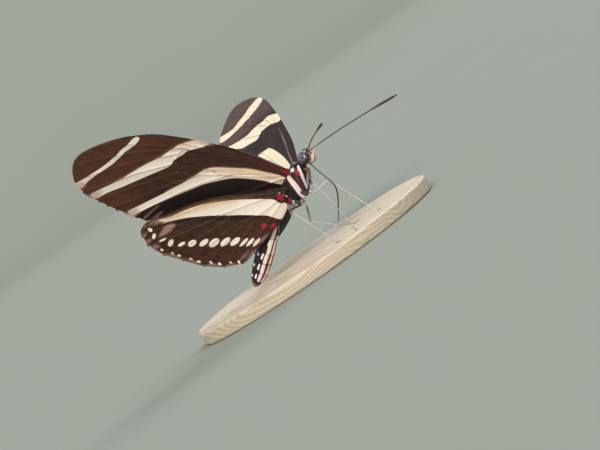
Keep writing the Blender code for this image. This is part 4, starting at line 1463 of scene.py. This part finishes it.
@dataclass(frozen=True)
class EyePlan:
    """A compound eye on the left side, with lenses drawn about three times too wide.

    Each spot is a painted pseudopupil, a dark spot of shade that in life moves with the viewer,
    and gives its place and radius. The last field sets the painted shade towards the eye's back
    and lower side: a factor on each, and how far below the middle it starts.
    """

    at: Point = (6.12, 1.05, -0.98)
    half: Point = (1.32, 0.97, 1.36)
    spots: tuple[tuple[float, float, float, float], ...] = (
        (6.42, 1.99, -1.01, 0.25), (6.31, 1.77, -1.87, 0.26), (5.44, 1.88, -0.88, 0.21),
        (5.45, 1.77, -1.58, 0.27), (6.43, 1.59, 0.1, 0.16), (6.98, 1.58, -0.26, 0.18),
        (7.16, 1.65, -0.97, 0.17), (5.92, 1.88, -0.3, 0.15), (7.15, 1.48, -1.58, 0.2),
        (5.3, 1.45, -0.32, 0.17), (5.9, 1.97, -1.3, 0.1))
    lens_rise: float = 0.016
    painted_shade_from: Point = (0.45, 0.9, 0.5)

    def form(self) -> Form:
        """The eye's surface, with a small dome for each lens."""
        ball = bmesh.new()
        bmesh.ops.create_icosphere(ball, subdivisions=5, radius=1.0)
        points = np.array([tuple(v.co) for v in ball.verts])
        faces = np.array([[v.index for v in f.verts] for f in ball.faces])
        ball.free()
        # A raised point in the middle of each lens, and a low one halfway to the next.
        sides = np.sort(np.vstack([faces[:, [0, 1]], faces[:, [1, 2]], faces[:, [2, 0]]]), axis=1)
        edges, where = np.unique(sides, axis=0, return_inverse=True)
        where = where.reshape(3, -1) + len(points)
        middles = unit(points[edges].mean(axis=1))
        lens = np.concatenate([np.full(len(points), self.lens_rise), np.zeros(len(edges))])
        ab, bc, ca = where
        a, b, c = faces.T
        faces = np.vstack([np.stack(f, 1) for f in ((a, ab, ca), (ab, b, bc), (ca, bc, c), (ab, bc, ca))])
        ball_points = np.vstack([points, middles])
        points = np.array(self.at) + ball_points * (np.array(self.half) + lens[:, None])
        # The spots are painted pseudopupils: dark patches that in life move with the viewer.
        dark = np.max([size - np.linalg.norm(points - spot, axis=1) for *spot, size in self.spots], axis=0)
        # Painted shade, darkest towards the eye's back and lower side.
        back, down, start = self.painted_shade_from
        below = -ball_points[:, 0] * back - ball_points[:, 2] * down - start
        # The outward value places the painted sheen and the painted shade at the eye's edge; the black value
        # holds the painted pseudopupils and the painted shade below.
        values = {Tint.HAZE.value: ball_points[:, 1], Tint.BLACK.value: np.maximum(dark, below * 0.8),
                  "lay": ball_points * 2.5}
        return Form(points, faces, values)

    def holds(self, points: Array) -> Array:
        """Whether body points on either side lie inside the eye."""
        near = (np.abs(points * (0, 1, 0)) + points * (1, 0, 1) - np.array(self.at)) / np.array(self.half)
        return (near ** 2).sum(axis=1) < 1.02

    def rim(self, rng: Rng) -> Roots:
        """Roots of the pale scales that stand round the eye, all round but thickest behind."""
        count = EYE_RIM_SCALES.count
        turn = rng.uniform(0, 2 * math.pi, 3 * count)
        behind = 0.12 + 0.88 * smooth_step((0.3 - np.cos(turn)) / 0.9)
        turn = turn[rng.uniform(size=len(turn)) < behind][:count]
        ring = np.stack([np.cos(turn), np.zeros(len(turn)), np.sin(turn)], axis=1)
        away = rng.uniform(1.0, 1.08, len(turn))[:, None]
        at = np.array(self.at) * (1, 0, 1) + ring * self.half * away
        at[:, 1] = 0.52 + 0.24 * rng.uniform(size=len(turn))
        lie = np.array((0.0, 1.0, 0.0)) + 0.35 * ring
        unwrap = np.stack([turn / (2 * math.pi), np.full(len(turn), 0.5)], axis=1)
        pale = 0.25 + 0.45 * smooth_step(-np.cos(turn) + 0.4)
        values = no_marks(len(turn))
        values[Tint.ROSE.value] = pale - 0.1
        values["lay"] = at * 3.0
        return Roots(at, ring, lie, unwrap, values)


EYE = EyePlan()


def bent_path(corners: Array, step: float = 0.07, soften: float = 0.22) -> Array:
    """A path of straight pieces whose bends are slightly rounded.

    Args:
        corners: The points where it bends, and its ends.
        step: The distance between the points returned.
        soften: How far on either side of a bend the rounding reaches.

    Returns:
        The path's points.
    """
    ends = way_along(corners)
    way = np.linspace(0.0, ends[-1], max(8, round(ends[-1] / step)))
    path = np.stack([np.interp(way, ends, column) for column in corners.T], axis=1)
    reach = max(1, round(soften / step))
    kernel = np.hanning(2 * reach + 3)[1:-1]
    kernel /= kernel.sum()
    before = 2 * path[0] - path[reach:0:-1]
    after = 2 * path[-1] - path[-2:-reach - 2:-1]
    padded = np.vstack([before, path, after])
    return np.stack([np.convolve(column, kernel, mode="valid") for column in padded.T], axis=1)


@dataclass(frozen=True)
class LegPlan:
    """A walking leg: its joints in body axes, and its toe on the base in the world's.

    The girth gives the part of the leg, counted by its bends, and the radius there.
    """

    name: str
    joints: tuple[Point, ...]
    toe: Flat
    femur_pale: float
    shin_pale: float
    toe_height: float = 3.11
    foot: float = 1.6
    girth: tuple[Flat, ...] = (
        (0.0, 0.6), (0.7, 0.42), (0.93, 0.24), (1.0, 0.19), (1.1, 0.2), (1.4, 0.215), (1.88, 0.15),
        (1.96, 0.135), (2.03, 0.155), (2.15, 0.125), (2.85, 0.115), (2.97, 0.14), (3.05, 0.105),
        (4.0, 0.1), (4.95, 0.085), (5.0, 0.04))
    claw: tuple[Point, ...] = ((-0.06, 0.02, 0.01), (0.1, 0.09, 0.03), (0.22, 0.16, -0.01),
                               (0.28, 0.2, -0.1))

    def corners(self) -> Array:
        """Its bends from coxa to toe in body axes: hip, knee, ankle, heel."""
        *upper, ankle = STANCE.to_world(np.array(self.joints))
        toe = np.array((*self.toe, self.toe_height))
        heel = toe + unit(ankle - toe) * self.foot
        heel[2] = toe[2] + 0.05
        return STANCE.to_body(np.vstack([*upper, ankle, heel, toe]))

    def skin(self) -> Sleeve:
        """The leg's chitin, with its joints and the five short pieces of the foot."""
        corners = self.corners()
        path = bent_path(corners)
        ends = way_along(corners)
        way = np.linspace(0.0, ends[-1], len(path))
        part = np.interp(way, ends, np.arange(len(ends)))
        radius = np.interp(part, *zip(*self.girth))
        foot = np.clip((part - 3.0) / 2.0, 0.0, 1.0)
        pieces = np.interp(foot, (0.0, 0.45, 0.65, 0.8, 0.9, 1.0), np.arange(6.0))
        radius = radius * np.where(part > 3.0, 0.86 + 0.28 * (pieces % 1.0) ** 1.5, 1.0)
        sleeve = tube(path, radius, 14)
        side = math.copysign(1.0, self.joints[1][1])
        inner = unit(np.array((0.35, -0.9 * side, -0.5)))
        facing = ((sleeve.rings - path[:, None]) / radius[:, None, None]) @ inner
        pale = np.interp(part, (0.0, 0.9, 1.0, 1.1, 1.95, 2.05, 2.2, 5.0),
                         (-0.4, -0.08, 0.05, self.femur_pale, self.femur_pale, -0.1, self.shin_pale,
                          self.shin_pale - 0.12))
        sleeve.values[Tint.CREAM.value] = pale[:, None] + 0.3 * facing
        return sleeve

    def claws(self) -> list[Form]:
        """The pair of hooked claws at the toe."""
        world = STANCE.to_world(self.corners())
        ahead = unit((world[-1] - world[-2]) * (1, 1, 0))
        aside = np.array((-ahead[1], ahead[0], 0.0))
        forms = []
        for turn in (-1, 1):
            path = [world[-1] + ahead * a + aside * turn * s + np.array((0, 0, z))
                    for a, s, z in self.claw]
            fine = curve_through(STANCE.to_body(np.array(path)), 0.05)
            claw = tube(fine, np.linspace(0.05, 0.012, len(fine)), 6)
            forms.append(claw.form())
        return forms


LEGS = (
    LegPlan("midleg_right", ((-0.5, -0.8, -2.6), (-0.5, -1.3, -4.5), (3.6, -3.2, -4.9), (2.5, -4.1, -11.4)),
            (18.6, -13.6), -0.45, 0.26),
    LegPlan("midleg_left", ((-0.5, 0.8, -2.6), (-0.5, 1.3, -4.5), (2.0, 4.5, -4.9), (0.95, 6.3, -10.3)),
            (20.0, -2.7), 0.25, 0.05),
    LegPlan("hindleg_right", ((-3.0, -0.8, -2.2), (-3.0, -1.2, -4.0), (-3.2, -5.6, -4.1), (-3.3, -6.0, -9.9)),
            (14.4, -14.5), -0.4, 0.3),
    LegPlan("hindleg_left", ((-3.2, 0.8, -2.0), (-3.6, 1.3, -3.7), (-7.4, 3.2, -5.0), (-6.3, 6.2, -9.6)),
            (11.6, 3.4), -0.25, -0.12),
)


@dataclass(frozen=True)
class FeelerPlan:
    """A thin tapering part on the left side: its path, and radii at even shares of it."""

    path: tuple[Point, ...]
    radii: tuple[float, ...]
    pale: tuple[float, ...]
    tint: Tint = Tint.CREAM
    sides: int = 16
    pinch: float = 0.0
    step: float = 0.08

    def skin(self) -> Sleeve:
        """Its skin, with its pale scaling."""
        fine = curve_through(self.path, self.step)
        share = np.linspace(0, 1, len(fine))
        radius = np.interp(share, np.linspace(0, 1, len(self.radii)), self.radii)

        def two_lobes(turns: Array) -> Array:
            """A factor that pinches the section into two lobes side by side."""
            return 1.0 - self.pinch * np.abs(np.cos(turns)) ** 6

        sleeve = tube(fine, radius, self.sides, two_lobes)
        shape = sleeve.rings.shape[:2]
        sleeve.values |= {key: value.reshape(shape) for key, value in no_marks(math.prod(shape)).items()}
        pale = np.interp(share, np.linspace(0, 1, len(self.pale)), self.pale)
        sleeve.values[self.tint.value] = np.broadcast_to(pale[:, None], shape).copy()
        return sleeve


ANTENNA_START = ((6.7, 0.4, -0.4), (7.5, 0.55, -0.8))
ANTENNA_RADII = (0.24, 0.15, 0.13, 0.13, 0.125, *(0.12,) * 6, 0.13, 0.15, 0.2, 0.26, 0.29, 0.26, 0.1)
ANTENNA_PALE = (-0.2, 0.05, -0.1, -0.3, -0.3, -0.3, -0.4, -0.4, -0.4, -0.5)
ANTENNAE = {
    "left": FeelerPlan((*ANTENNA_START, (12.1, 4.6, -2.9), (18.4, 10.2, -6.4), (21.9, 13.0, -8.6)),
                       ANTENNA_RADII, ANTENNA_PALE),
    "right": FeelerPlan((*ANTENNA_START, (12.1, 4.6, -2.9), (17.6, 10.2, -6.3), (20.3, 13.0, -8.1)),
                        ANTENNA_RADII, ANTENNA_PALE),
}
PALP = FeelerPlan(((5.7, 0.35, -1.9), (6.1, 0.36, -2.45), (7.0, 0.36, -2.45), (7.65, 0.35, -2.05),
                   (7.9, 0.33, -1.5)),
                  (0.2, 0.22, 0.22, 0.19, 0.1), (0.3, 0.3, 0.3, 0.2, 0.0), Tint.ROSE)
PROBOSCIS = FeelerPlan(((5.3, 0.0, -1.9), (4.9, 0.0, -3.6), (4.4, 0.0, -6.6), (3.9, 0.0, -8.8),
                        (2.4, 0.0, -10.2), (0.0, 0.0, -11.3), (-2.4, 0.0, -12.3)),
                       (0.16, 0.14, 0.14, 0.15, 0.15, 0.12, 0.07),
                       (0.1, 0.05, -0.1, -0.5, -0.5), sides=18, pinch=0.16)
FORELEG = FeelerPlan(((3.3, 0.4, -1.0), (3.9, 0.36, -1.95), (3.05, 0.32, -2.7), (2.1, 0.32, -3.2),
                      (1.3, 0.32, -3.65)),
                     (0.2, 0.18, 0.16, 0.12, 0.07), (0.4, 0.35, 0.2, -0.1, -0.5), Tint.BROWN)


WING_UNDER = ScaleFinish(
    "scales_wing_under", ground="#55301f", ground_dark="#260f08", row=0.21, layers=(
        Layer(Tint.HAZE, "#6a3e24", edge=4.0, cover=0.45),
        # Black also holds the painted shadow where the hindwing overlaps the forewing.
        Layer(Tint.BLACK, "#170a0a", edge=0.35, cover=0.92, wobble=0.3),
        Layer(Tint.WINE, "#4a0d17", edge=0.6, cover=0.75, wobble=0.4),
        Layer(Tint.GOLD, "#91662f", edge=0.25, cover=0.8, wobble=0.45),
        Layer(Tint.CREAM, "#fff2e4", wobble=0.06),
        Layer(Tint.PEACH, "#f6cfa4", edge=0.5, cover=0.7, wobble=0.3),
        Layer(Tint.BROWN, "#7c5026", edge=0.1, cover=0.85),
        # Rose also paints the pink-lilac sheen where the forewing's bands end.
        Layer(Tint.ROSE, "#c39a93", edge=0.35, cover=0.68, wobble=0.3),
        Layer(Tint.VEIN, "#7a5334", edge=0.05, cover=0.32, wobble=0.05, inset=0.08),
        Layer(Tint.RED, "#ad0f33", edge=0.08, wobble=0.12)),
    sheen=0.08, sheen_color="#c9a894")
WING_UPPER = ScaleFinish(
    "scales_wing_upper", ground="#36231f", ground_dark="#1d1311", row=0.21, layers=(
        Layer(Tint.HAZE, "#6a504b", edge=3.0, cover=0.6),
        Layer(Tint.CREAM, "#f7ebcf", wobble=0.06),
        Layer(Tint.ROSE, "#a07f7b", edge=0.14, cover=0.8, wobble=0.2),
        Layer(Tint.VEIN, "#241719", edge=0.05, cover=0.4, wobble=0.05, inset=0.08)),
    sheen=0.12, sheen_color="#b8a0a8")
BODY_SCALES = ScaleFinish(
    "scales_body", ground="#2b1c1d", ground_dark="#120b0d", row=0.16, layers=(
        Layer(Tint.BLACK, "#0e0809", edge=0.2, cover=0.85, wobble=0.2),
        Layer(Tint.HAZE, "#5c3038", edge=0.2, cover=0.8, wobble=0.3),
        Layer(Tint.BROWN, "#8f6351", edge=0.15, cover=0.9, wobble=0.2),
        Layer(Tint.ROSE, "#f7e2d9"),
        Layer(Tint.CREAM, "#fdf2ec", edge=0.05, wobble=0.07),
        Layer(Tint.PEACH, "#f6d2ae", edge=0.25, cover=0.55, wobble=0.2),
        Layer(Tint.RED, "#b8153c")),
    grain=0.2, bump=0.2, sheen=0.2, speckle="#8d7f86", speckle_cover=0.5)
LEG_CHITIN = CuticleFinish("chitin_leg", dark="#1d1413", light="#3a2a25", pale="#cfc8cc", ring=0.3,
                           ring_cover=0.12, roughness=0.5)
HORN_CHITIN = CuticleFinish("chitin_antenna", dark="#191110", light="#3b2c24", pale="#8f8274", ring=0.36,
                            ring_cover=0.35)
TONGUE_CHITIN = CuticleFinish("chitin_proboscis", dark="#140d0c", light="#2e1e1a", pale="#5a4a40", ring=0.16,
                              ring_cover=0.3, roughness=0.35)


@dataclass(frozen=True)
class Crest:
    """A bunch of standing tufts on both sides of the head or neck."""

    forward: float
    angle: float
    spread: float
    count: int
    length: float
    tint: Tint | None = None

    def grow(self, rng: Rng) -> Form:
        """Its tufts on the left side. Those on the crown lean forward, the others back."""
        x = self.forward + self.spread * rng.normal(size=self.count) * 0.6
        a = self.angle + 12 * rng.normal(size=self.count) * self.spread / 0.35
        at = BODY.point(x, a)
        out = unit(BODY.point(x, a, 0.1) - at)
        values = no_marks(self.count)
        if self.tint is not None:
            values[self.tint.value] = np.full(self.count, 0.3)
        values["lay"] = at * 3.0
        lie = np.broadcast_to((0.9, 0.0, 0.25) if self.forward > 6.5 else (-1.0, 0.0, 0.1), at.shape)
        unwrap = np.stack([np.clip((BODY.face[0] - x) / 3.0, 0, 1), (a % 180) / 180], axis=1)
        style = TuftStyle(self.count, self.length, 0.022, 48.0, vary=0.35, stray=0.25)
        return style.grow(Roots(at, out, lie, unwrap, values), rng)


CRESTS = (
    Crest(6.9, 10, 0.4, 60, 0.55), Crest(7.2, 20, 0.25, 40, 0.45, Tint.BROWN),
    Crest(7.0, 34, 0.2, 70, 0.35, Tint.CREAM), Crest(5.6, 12, 0.5, 110, 0.45),
    Crest(4.3, 14, 0.45, 130, 0.5), Crest(4.0, 60, 0.4, 110, 0.4))


@dataclass(frozen=True)
class BasePlan:
    """The turned wooden base that holds the insect up. The frame gives its size."""

    fillet: float = 0.55
    sides: int = 192
    pole: float = 0.5

    def form(self) -> Form:
        """The disc, with both its edges rounded."""
        low, high = (np.array(corner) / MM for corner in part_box("stand_base"))
        centre, radius, tall = (low + high) / 2, (high[0] - low[0]) / 2, high[2] - low[2]
        flat, fillet = radius - self.fillet, self.fillet
        turns = np.radians(np.linspace(0, 90, 9))
        profile = [(r, tall) for r in np.linspace(self.pole, flat, 14)]
        profile += [(flat + fillet * math.sin(t), tall - fillet + fillet * math.cos(t)) for t in turns]
        profile += [(flat + fillet * math.cos(t), fillet - fillet * math.sin(t)) for t in turns]
        profile += [(r, 0.0) for r in np.linspace(flat - 0.3, self.pole, 10)]
        around = 2 * math.pi * np.arange(self.sides) / self.sides
        rings = [np.stack([centre[0] + r * np.cos(around), centre[1] + r * np.sin(around),
                           np.full(self.sides, z)], axis=1) for r, z in profile]
        return Sleeve(STANCE.to_body(np.array(rings))).form()


class Butterfly:
    """Builds the insect and its base over the frame's nodes."""

    def __init__(self) -> None:
        """Makes the materials and the seeded source of all variation."""
        self.rng = np.random.default_rng(SEED)
        self.under = WING_UNDER.build()
        self.upper = WING_UPPER.build()
        self.scales = BODY_SCALES.build()
        self.leg = LEG_CHITIN.build()
        self.horn = HORN_CHITIN.build()
        self.tongue = TONGUE_CHITIN.build()
        self.cornea = CorneaFinish().build()
        self.skin = BODY.skin()

    def add_wings(self) -> None:
        """Both pairs of wings, each with its fringe and the long scales at its root."""
        looks = (self.upper, self.under)
        for plan in (FOREWING, HINDWING):
            right = plan.membrane()
            for side, sign in SIDES.items():
                name = f"{plan.kind}_{side}"
                fringe, hair = plan.fringe(self.rng), plan.base_hair(self.rng)
                pieces = [right, fringe, hair] if sign < 0 else [f.mirrored() for f in (right, fringe, hair)]
                add_piece(f"wing_{name}", pieces[0], looks, Slot.WING, name)
                add_piece(f"fringe_{name}", pieces[1], looks, Slot.WING)
                add_piece(f"hair_{name}", pieces[2], looks, Slot.WING)

    def coat(self, roots: Roots, style: TuftStyle, scale: Array | float = 1.0) -> Form:
        """Grows tufts, without those that would stand inside an eye.

        Args:
            roots: Where they grow.
            style: Their kind.
            scale: A factor on each one's length.

        Returns:
            The tufts.
        """
        keep = ~EYE.holds(roots.at)
        part = scale[keep] if isinstance(scale, np.ndarray) else scale
        return style.grow(roots.chosen(keep), self.rng, part)

    def stretch_roots(self, front: float, back: float, count: int) -> Roots:
        """Random roots on the skin between two distances forward.

        Args:
            front: The front end of the stretch.
            back: Its back end.
            count: How many roots.

        Returns:
            The roots, which have the whole bake map to themselves.
        """
        forward = self.skin.rings[..., 0]
        density = ((forward <= front) & (forward >= back)).astype(float)
        roots = self.skin.scatter(count, self.rng, density)
        share = (front - roots.at[:, 0]) / (front - back)
        roots.unwrap = np.stack([0.004 + 0.992 * np.clip(share, 0, 1), roots.unwrap[:, 1]], axis=1)
        return roots

    def add_body(self) -> None:
        """The skin of head, thorax and abdomen, and the coats that lie on it."""
        add_piece("body_skin", self.skin.form(), (self.scales,), Slot.BODY, "thorax", "abdomen", "head")
        chest = self.stretch_roots(*BODY.chest, THORAX_HAIR.count)
        longer_above = 0.75 + 0.5 * smooth_step((chest.at[:, 2] + 0.5) / 2.0)
        coat = self.coat(chest, THORAX_HAIR, longer_above)
        add_piece("coat_thorax", coat, (self.scales,), Slot.BODY)
        belly = self.stretch_roots(*BODY.belly, ABDOMEN_SCALES.count)
        add_piece("coat_abdomen", self.coat(belly, ABDOMEN_SCALES), (self.scales,), Slot.BODY)
        face = self.stretch_roots(*BODY.face, FACE_HAIR.count)
        longer_below = 0.7 + 0.5 * smooth_step(-(face.at[:, 2] + 1.2) / 0.8)
        forms = [self.coat(face, FACE_HAIR, longer_below)]
        forms.append(EYE_RIM_SCALES.grow(EYE.rim(self.rng), self.rng))
        forms.append(forms[-1].mirrored())
        for crest in CRESTS:
            forms.append(crest.grow(self.rng))
            forms.append(forms[-1].mirrored())
        add_piece("coat_head", joined(forms), (self.scales,), Slot.BODY)

    def add_eyes(self) -> None:
        """Both compound eyes."""
        form = EYE.form()
        add_piece("eye_ball_left", form, (self.cornea,), Slot.EYE, "eye_left")
        add_piece("eye_ball_right", form.mirrored(), (self.cornea,), Slot.EYE, "eye_right")

    def add_feelers(self) -> None:
        """Antennae, palps, forelegs and proboscis."""
        palp, foreleg = PALP.skin(), FORELEG.skin()
        kinds = (("antenna", "rod", "down", ANTENNA_DOWN, self.horn, Slot.HORN),
                 ("palp", "core", "hair", PALP_HAIR, self.scales, Slot.PALE),
                 ("foreleg", "core", "hair", FORELEG_HAIR, self.scales, Slot.BODY))
        for side, sign in SIDES.items():
            skins = (ANTENNAE[side].skin(), palp, foreleg)
            for (part, core, coat, style, look, slot), skin in zip(kinds, skins):
                tufts = style.grow(skin.scatter(style.count, self.rng), self.rng)
                for name, form, nodes in ((core, skin.form(), (f"{part}_{side}",)), (coat, tufts, ())):
                    shape = form.mirrored() if sign < 0 else form
                    add_piece(f"{part}_{name}_{side}", shape, (look,), slot, *nodes)
        add_piece("proboscis_tube", PROBOSCIS.skin().form(), (self.tongue,), Slot.HORN, "proboscis")

    def add_legs(self) -> None:
        """The four walking legs with their scales, spines and claws."""
        for plan in LEGS:
            skin = plan.skin()
            chitin = joined([skin.form(), *plan.claws()])
            add_piece(f"leg_{plan.name}", chitin, (self.leg,), Slot.LEG, plan.name)
            scales = LEG_SCALES.grow(skin.scatter(LEG_SCALES.count, self.rng), self.rng)
            spines = skin.scatter(LEG_SPINES.count, self.rng)
            far = spines.chosen(spines.unwrap[:, 0] > 0.55)
            far.values[Tint.CREAM.value] = np.full(len(far.at), -0.5)
            thorns = LEG_SPINES.grow(far, self.rng)
            add_piece(f"scales_{plan.name}", joined([scales, thorns]), (self.leg,), Slot.LEG)

    def add_base(self) -> None:
        """The wooden base."""
        add_piece("base_disc", BasePlan().form(), (BeechFinish().build(),), Slot.BASE, "stand_base")


@dataclass(frozen=True)
class Studio:
    """Camera, lights and a seamless round paper cove. Lengths are in millimetres."""

    aim: Point = (5.616, -7.29, 9.534)
    distance: float = 600.0
    azimuth: float = 117.5
    elevation: float = -3.425
    roll: float = 35.16
    lens: float = 180.0
    floor_radius: float = 1700.0
    curve: float = 500.0
    wall: float = 520.0

    def look(self) -> Vector:
        """The direction the camera looks in."""
        turn, rise = math.radians(self.azimuth), math.radians(self.elevation)
        return Vector((math.cos(rise) * math.cos(turn), math.cos(rise) * math.sin(turn), math.sin(rise)))

    def frame(self) -> Matrix:
        """The camera's axes, turned about its line of sight with the insect."""
        look = self.look()
        level = look.cross(Vector((0, 0, 1))).normalized()
        upright = level.cross(look)
        roll = math.radians(self.roll)
        up = upright * math.cos(roll) + level * math.sin(roll)
        right = look.cross(up)
        return Matrix((right, up, -look)).transposed()

    def add_camera(self) -> None:
        """The photo's view: from the insect's right, a little in front and below."""
        data = bpy.data.cameras.new("camera")
        data.lens = self.lens
        data.sensor_width = 36.0
        data.clip_end = 20.0
        camera = bpy.data.objects.new("camera", data)
        place = (Vector(self.aim) - self.look() * self.distance) * MM
        camera.matrix_world = Matrix.Translation(place) @ self.frame().to_4x4()
        bpy.context.scene.collection.objects.link(camera)
        bpy.context.scene.camera = camera

    def add_light(self, name: str, place: Point, angle: float, strength: float, color: str) -> None:
        """A soft distant light, so that floor and insect are lit alike.

        Args:
            name: The light's name.
            place: The way it comes from, by the camera's right, up and back from the insect.
            angle: How wide it looks, in degrees.
            strength: Its strength in watts a square metre.
            color: Its colour.
        """
        data = bpy.data.lights.new(name, "SUN")
        data.angle = math.radians(angle)
        data.energy = strength
        data.color = linear(color)[:3]
        light = bpy.data.objects.new(name, data)
        offset = self.frame() @ Vector(place)
        light.location = (Vector(self.aim) + 400 * offset.normalized()) * MM
        light.rotation_euler = (-offset).to_track_quat("-Z", "Y").to_euler()
        light.visible_camera = False
        bpy.context.scene.collection.objects.link(light)

    def add_cove(self) -> None:
        """A round floor that curves up into a wall, so that no horizon shows."""
        profile = [(0.0, 0.0), (self.floor_radius, 0.0)]
        for k in range(1, 25):
            turn = math.radians(90 * k / 24)
            out, up = self.curve * math.sin(turn), self.curve * (1 - math.cos(turn))
            profile.append((self.floor_radius + out, up))
        profile.append((self.floor_radius + self.curve, self.wall))
        ball = bmesh.new()
        verts = [ball.verts.new((r * MM, 0.0, z * MM)) for r, z in profile]
        edges = [ball.edges.new(pair) for pair in zip(verts, verts[1:])]
        bmesh.ops.spin(ball, geom=verts + edges, cent=(0, 0, 0), axis=(0, 0, 1), angle=2 * math.pi, steps=96,
                       use_merge=True)
        bmesh.ops.remove_doubles(ball, verts=ball.verts, dist=1e-5)
        bmesh.ops.recalc_face_normals(ball, faces=ball.faces)
        mesh = bpy.data.meshes.new("cove")
        ball.to_mesh(mesh)
        ball.free()
        mesh.materials.append(PaperFinish().build())
        mesh.shade_smooth()
        cove = bpy.data.objects.new("cove", mesh)
        bpy.context.scene.collection.objects.link(cove)
        cove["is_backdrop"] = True

    def add_world(self) -> None:
        """Soft light from all round, as under an overcast sky."""
        world = bpy.data.worlds.new("soft_sky")
        world.use_nodes = True
        world.node_tree.nodes["Background"].inputs["Color"].default_value = linear("#e9eef2")
        world.node_tree.nodes["Background"].inputs["Strength"].default_value = 0.6
        bpy.context.scene.world = world
        bpy.context.scene.view_settings.view_transform = "Standard"

    def build(self) -> None:
        """Everything round the insect."""
        self.add_cove()
        self.add_world()
        self.add_camera()
        self.add_light("key", (-0.45, 0.25, 0.86), 20, 2.2, "#fff7f0")
        self.add_light("top", (-0.25, 0.95, 0.15), 40, 0.7, "#f4f8ff")
        self.add_light("rim", (-0.05, 0.75, -0.65), 30, 0.9, "#ffffff")


def plain_box(bounds: object) -> object:
    if isinstance(bounds, dict):
        return {str(key): plain_box(value) for key, value in bounds.items()}
    if isinstance(bounds, (int, float, str)):
        return bounds
    return [plain_box(part) for part in bounds]


def main() -> None:
    """Builds the scene."""
    logging.basicConfig(level=logging.INFO, format="%(name)s: %(message)s")
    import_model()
    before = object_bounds()
    butterfly = Butterfly()
    butterfly.add_wings()
    butterfly.add_body()
    butterfly.add_eyes()
    butterfly.add_feelers()
    butterfly.add_legs()
    butterfly.add_base()
    Studio().build()
    {"frame": plain_box(before), "scene": plain_box(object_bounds())}


if __name__ == "__main__":
    main()
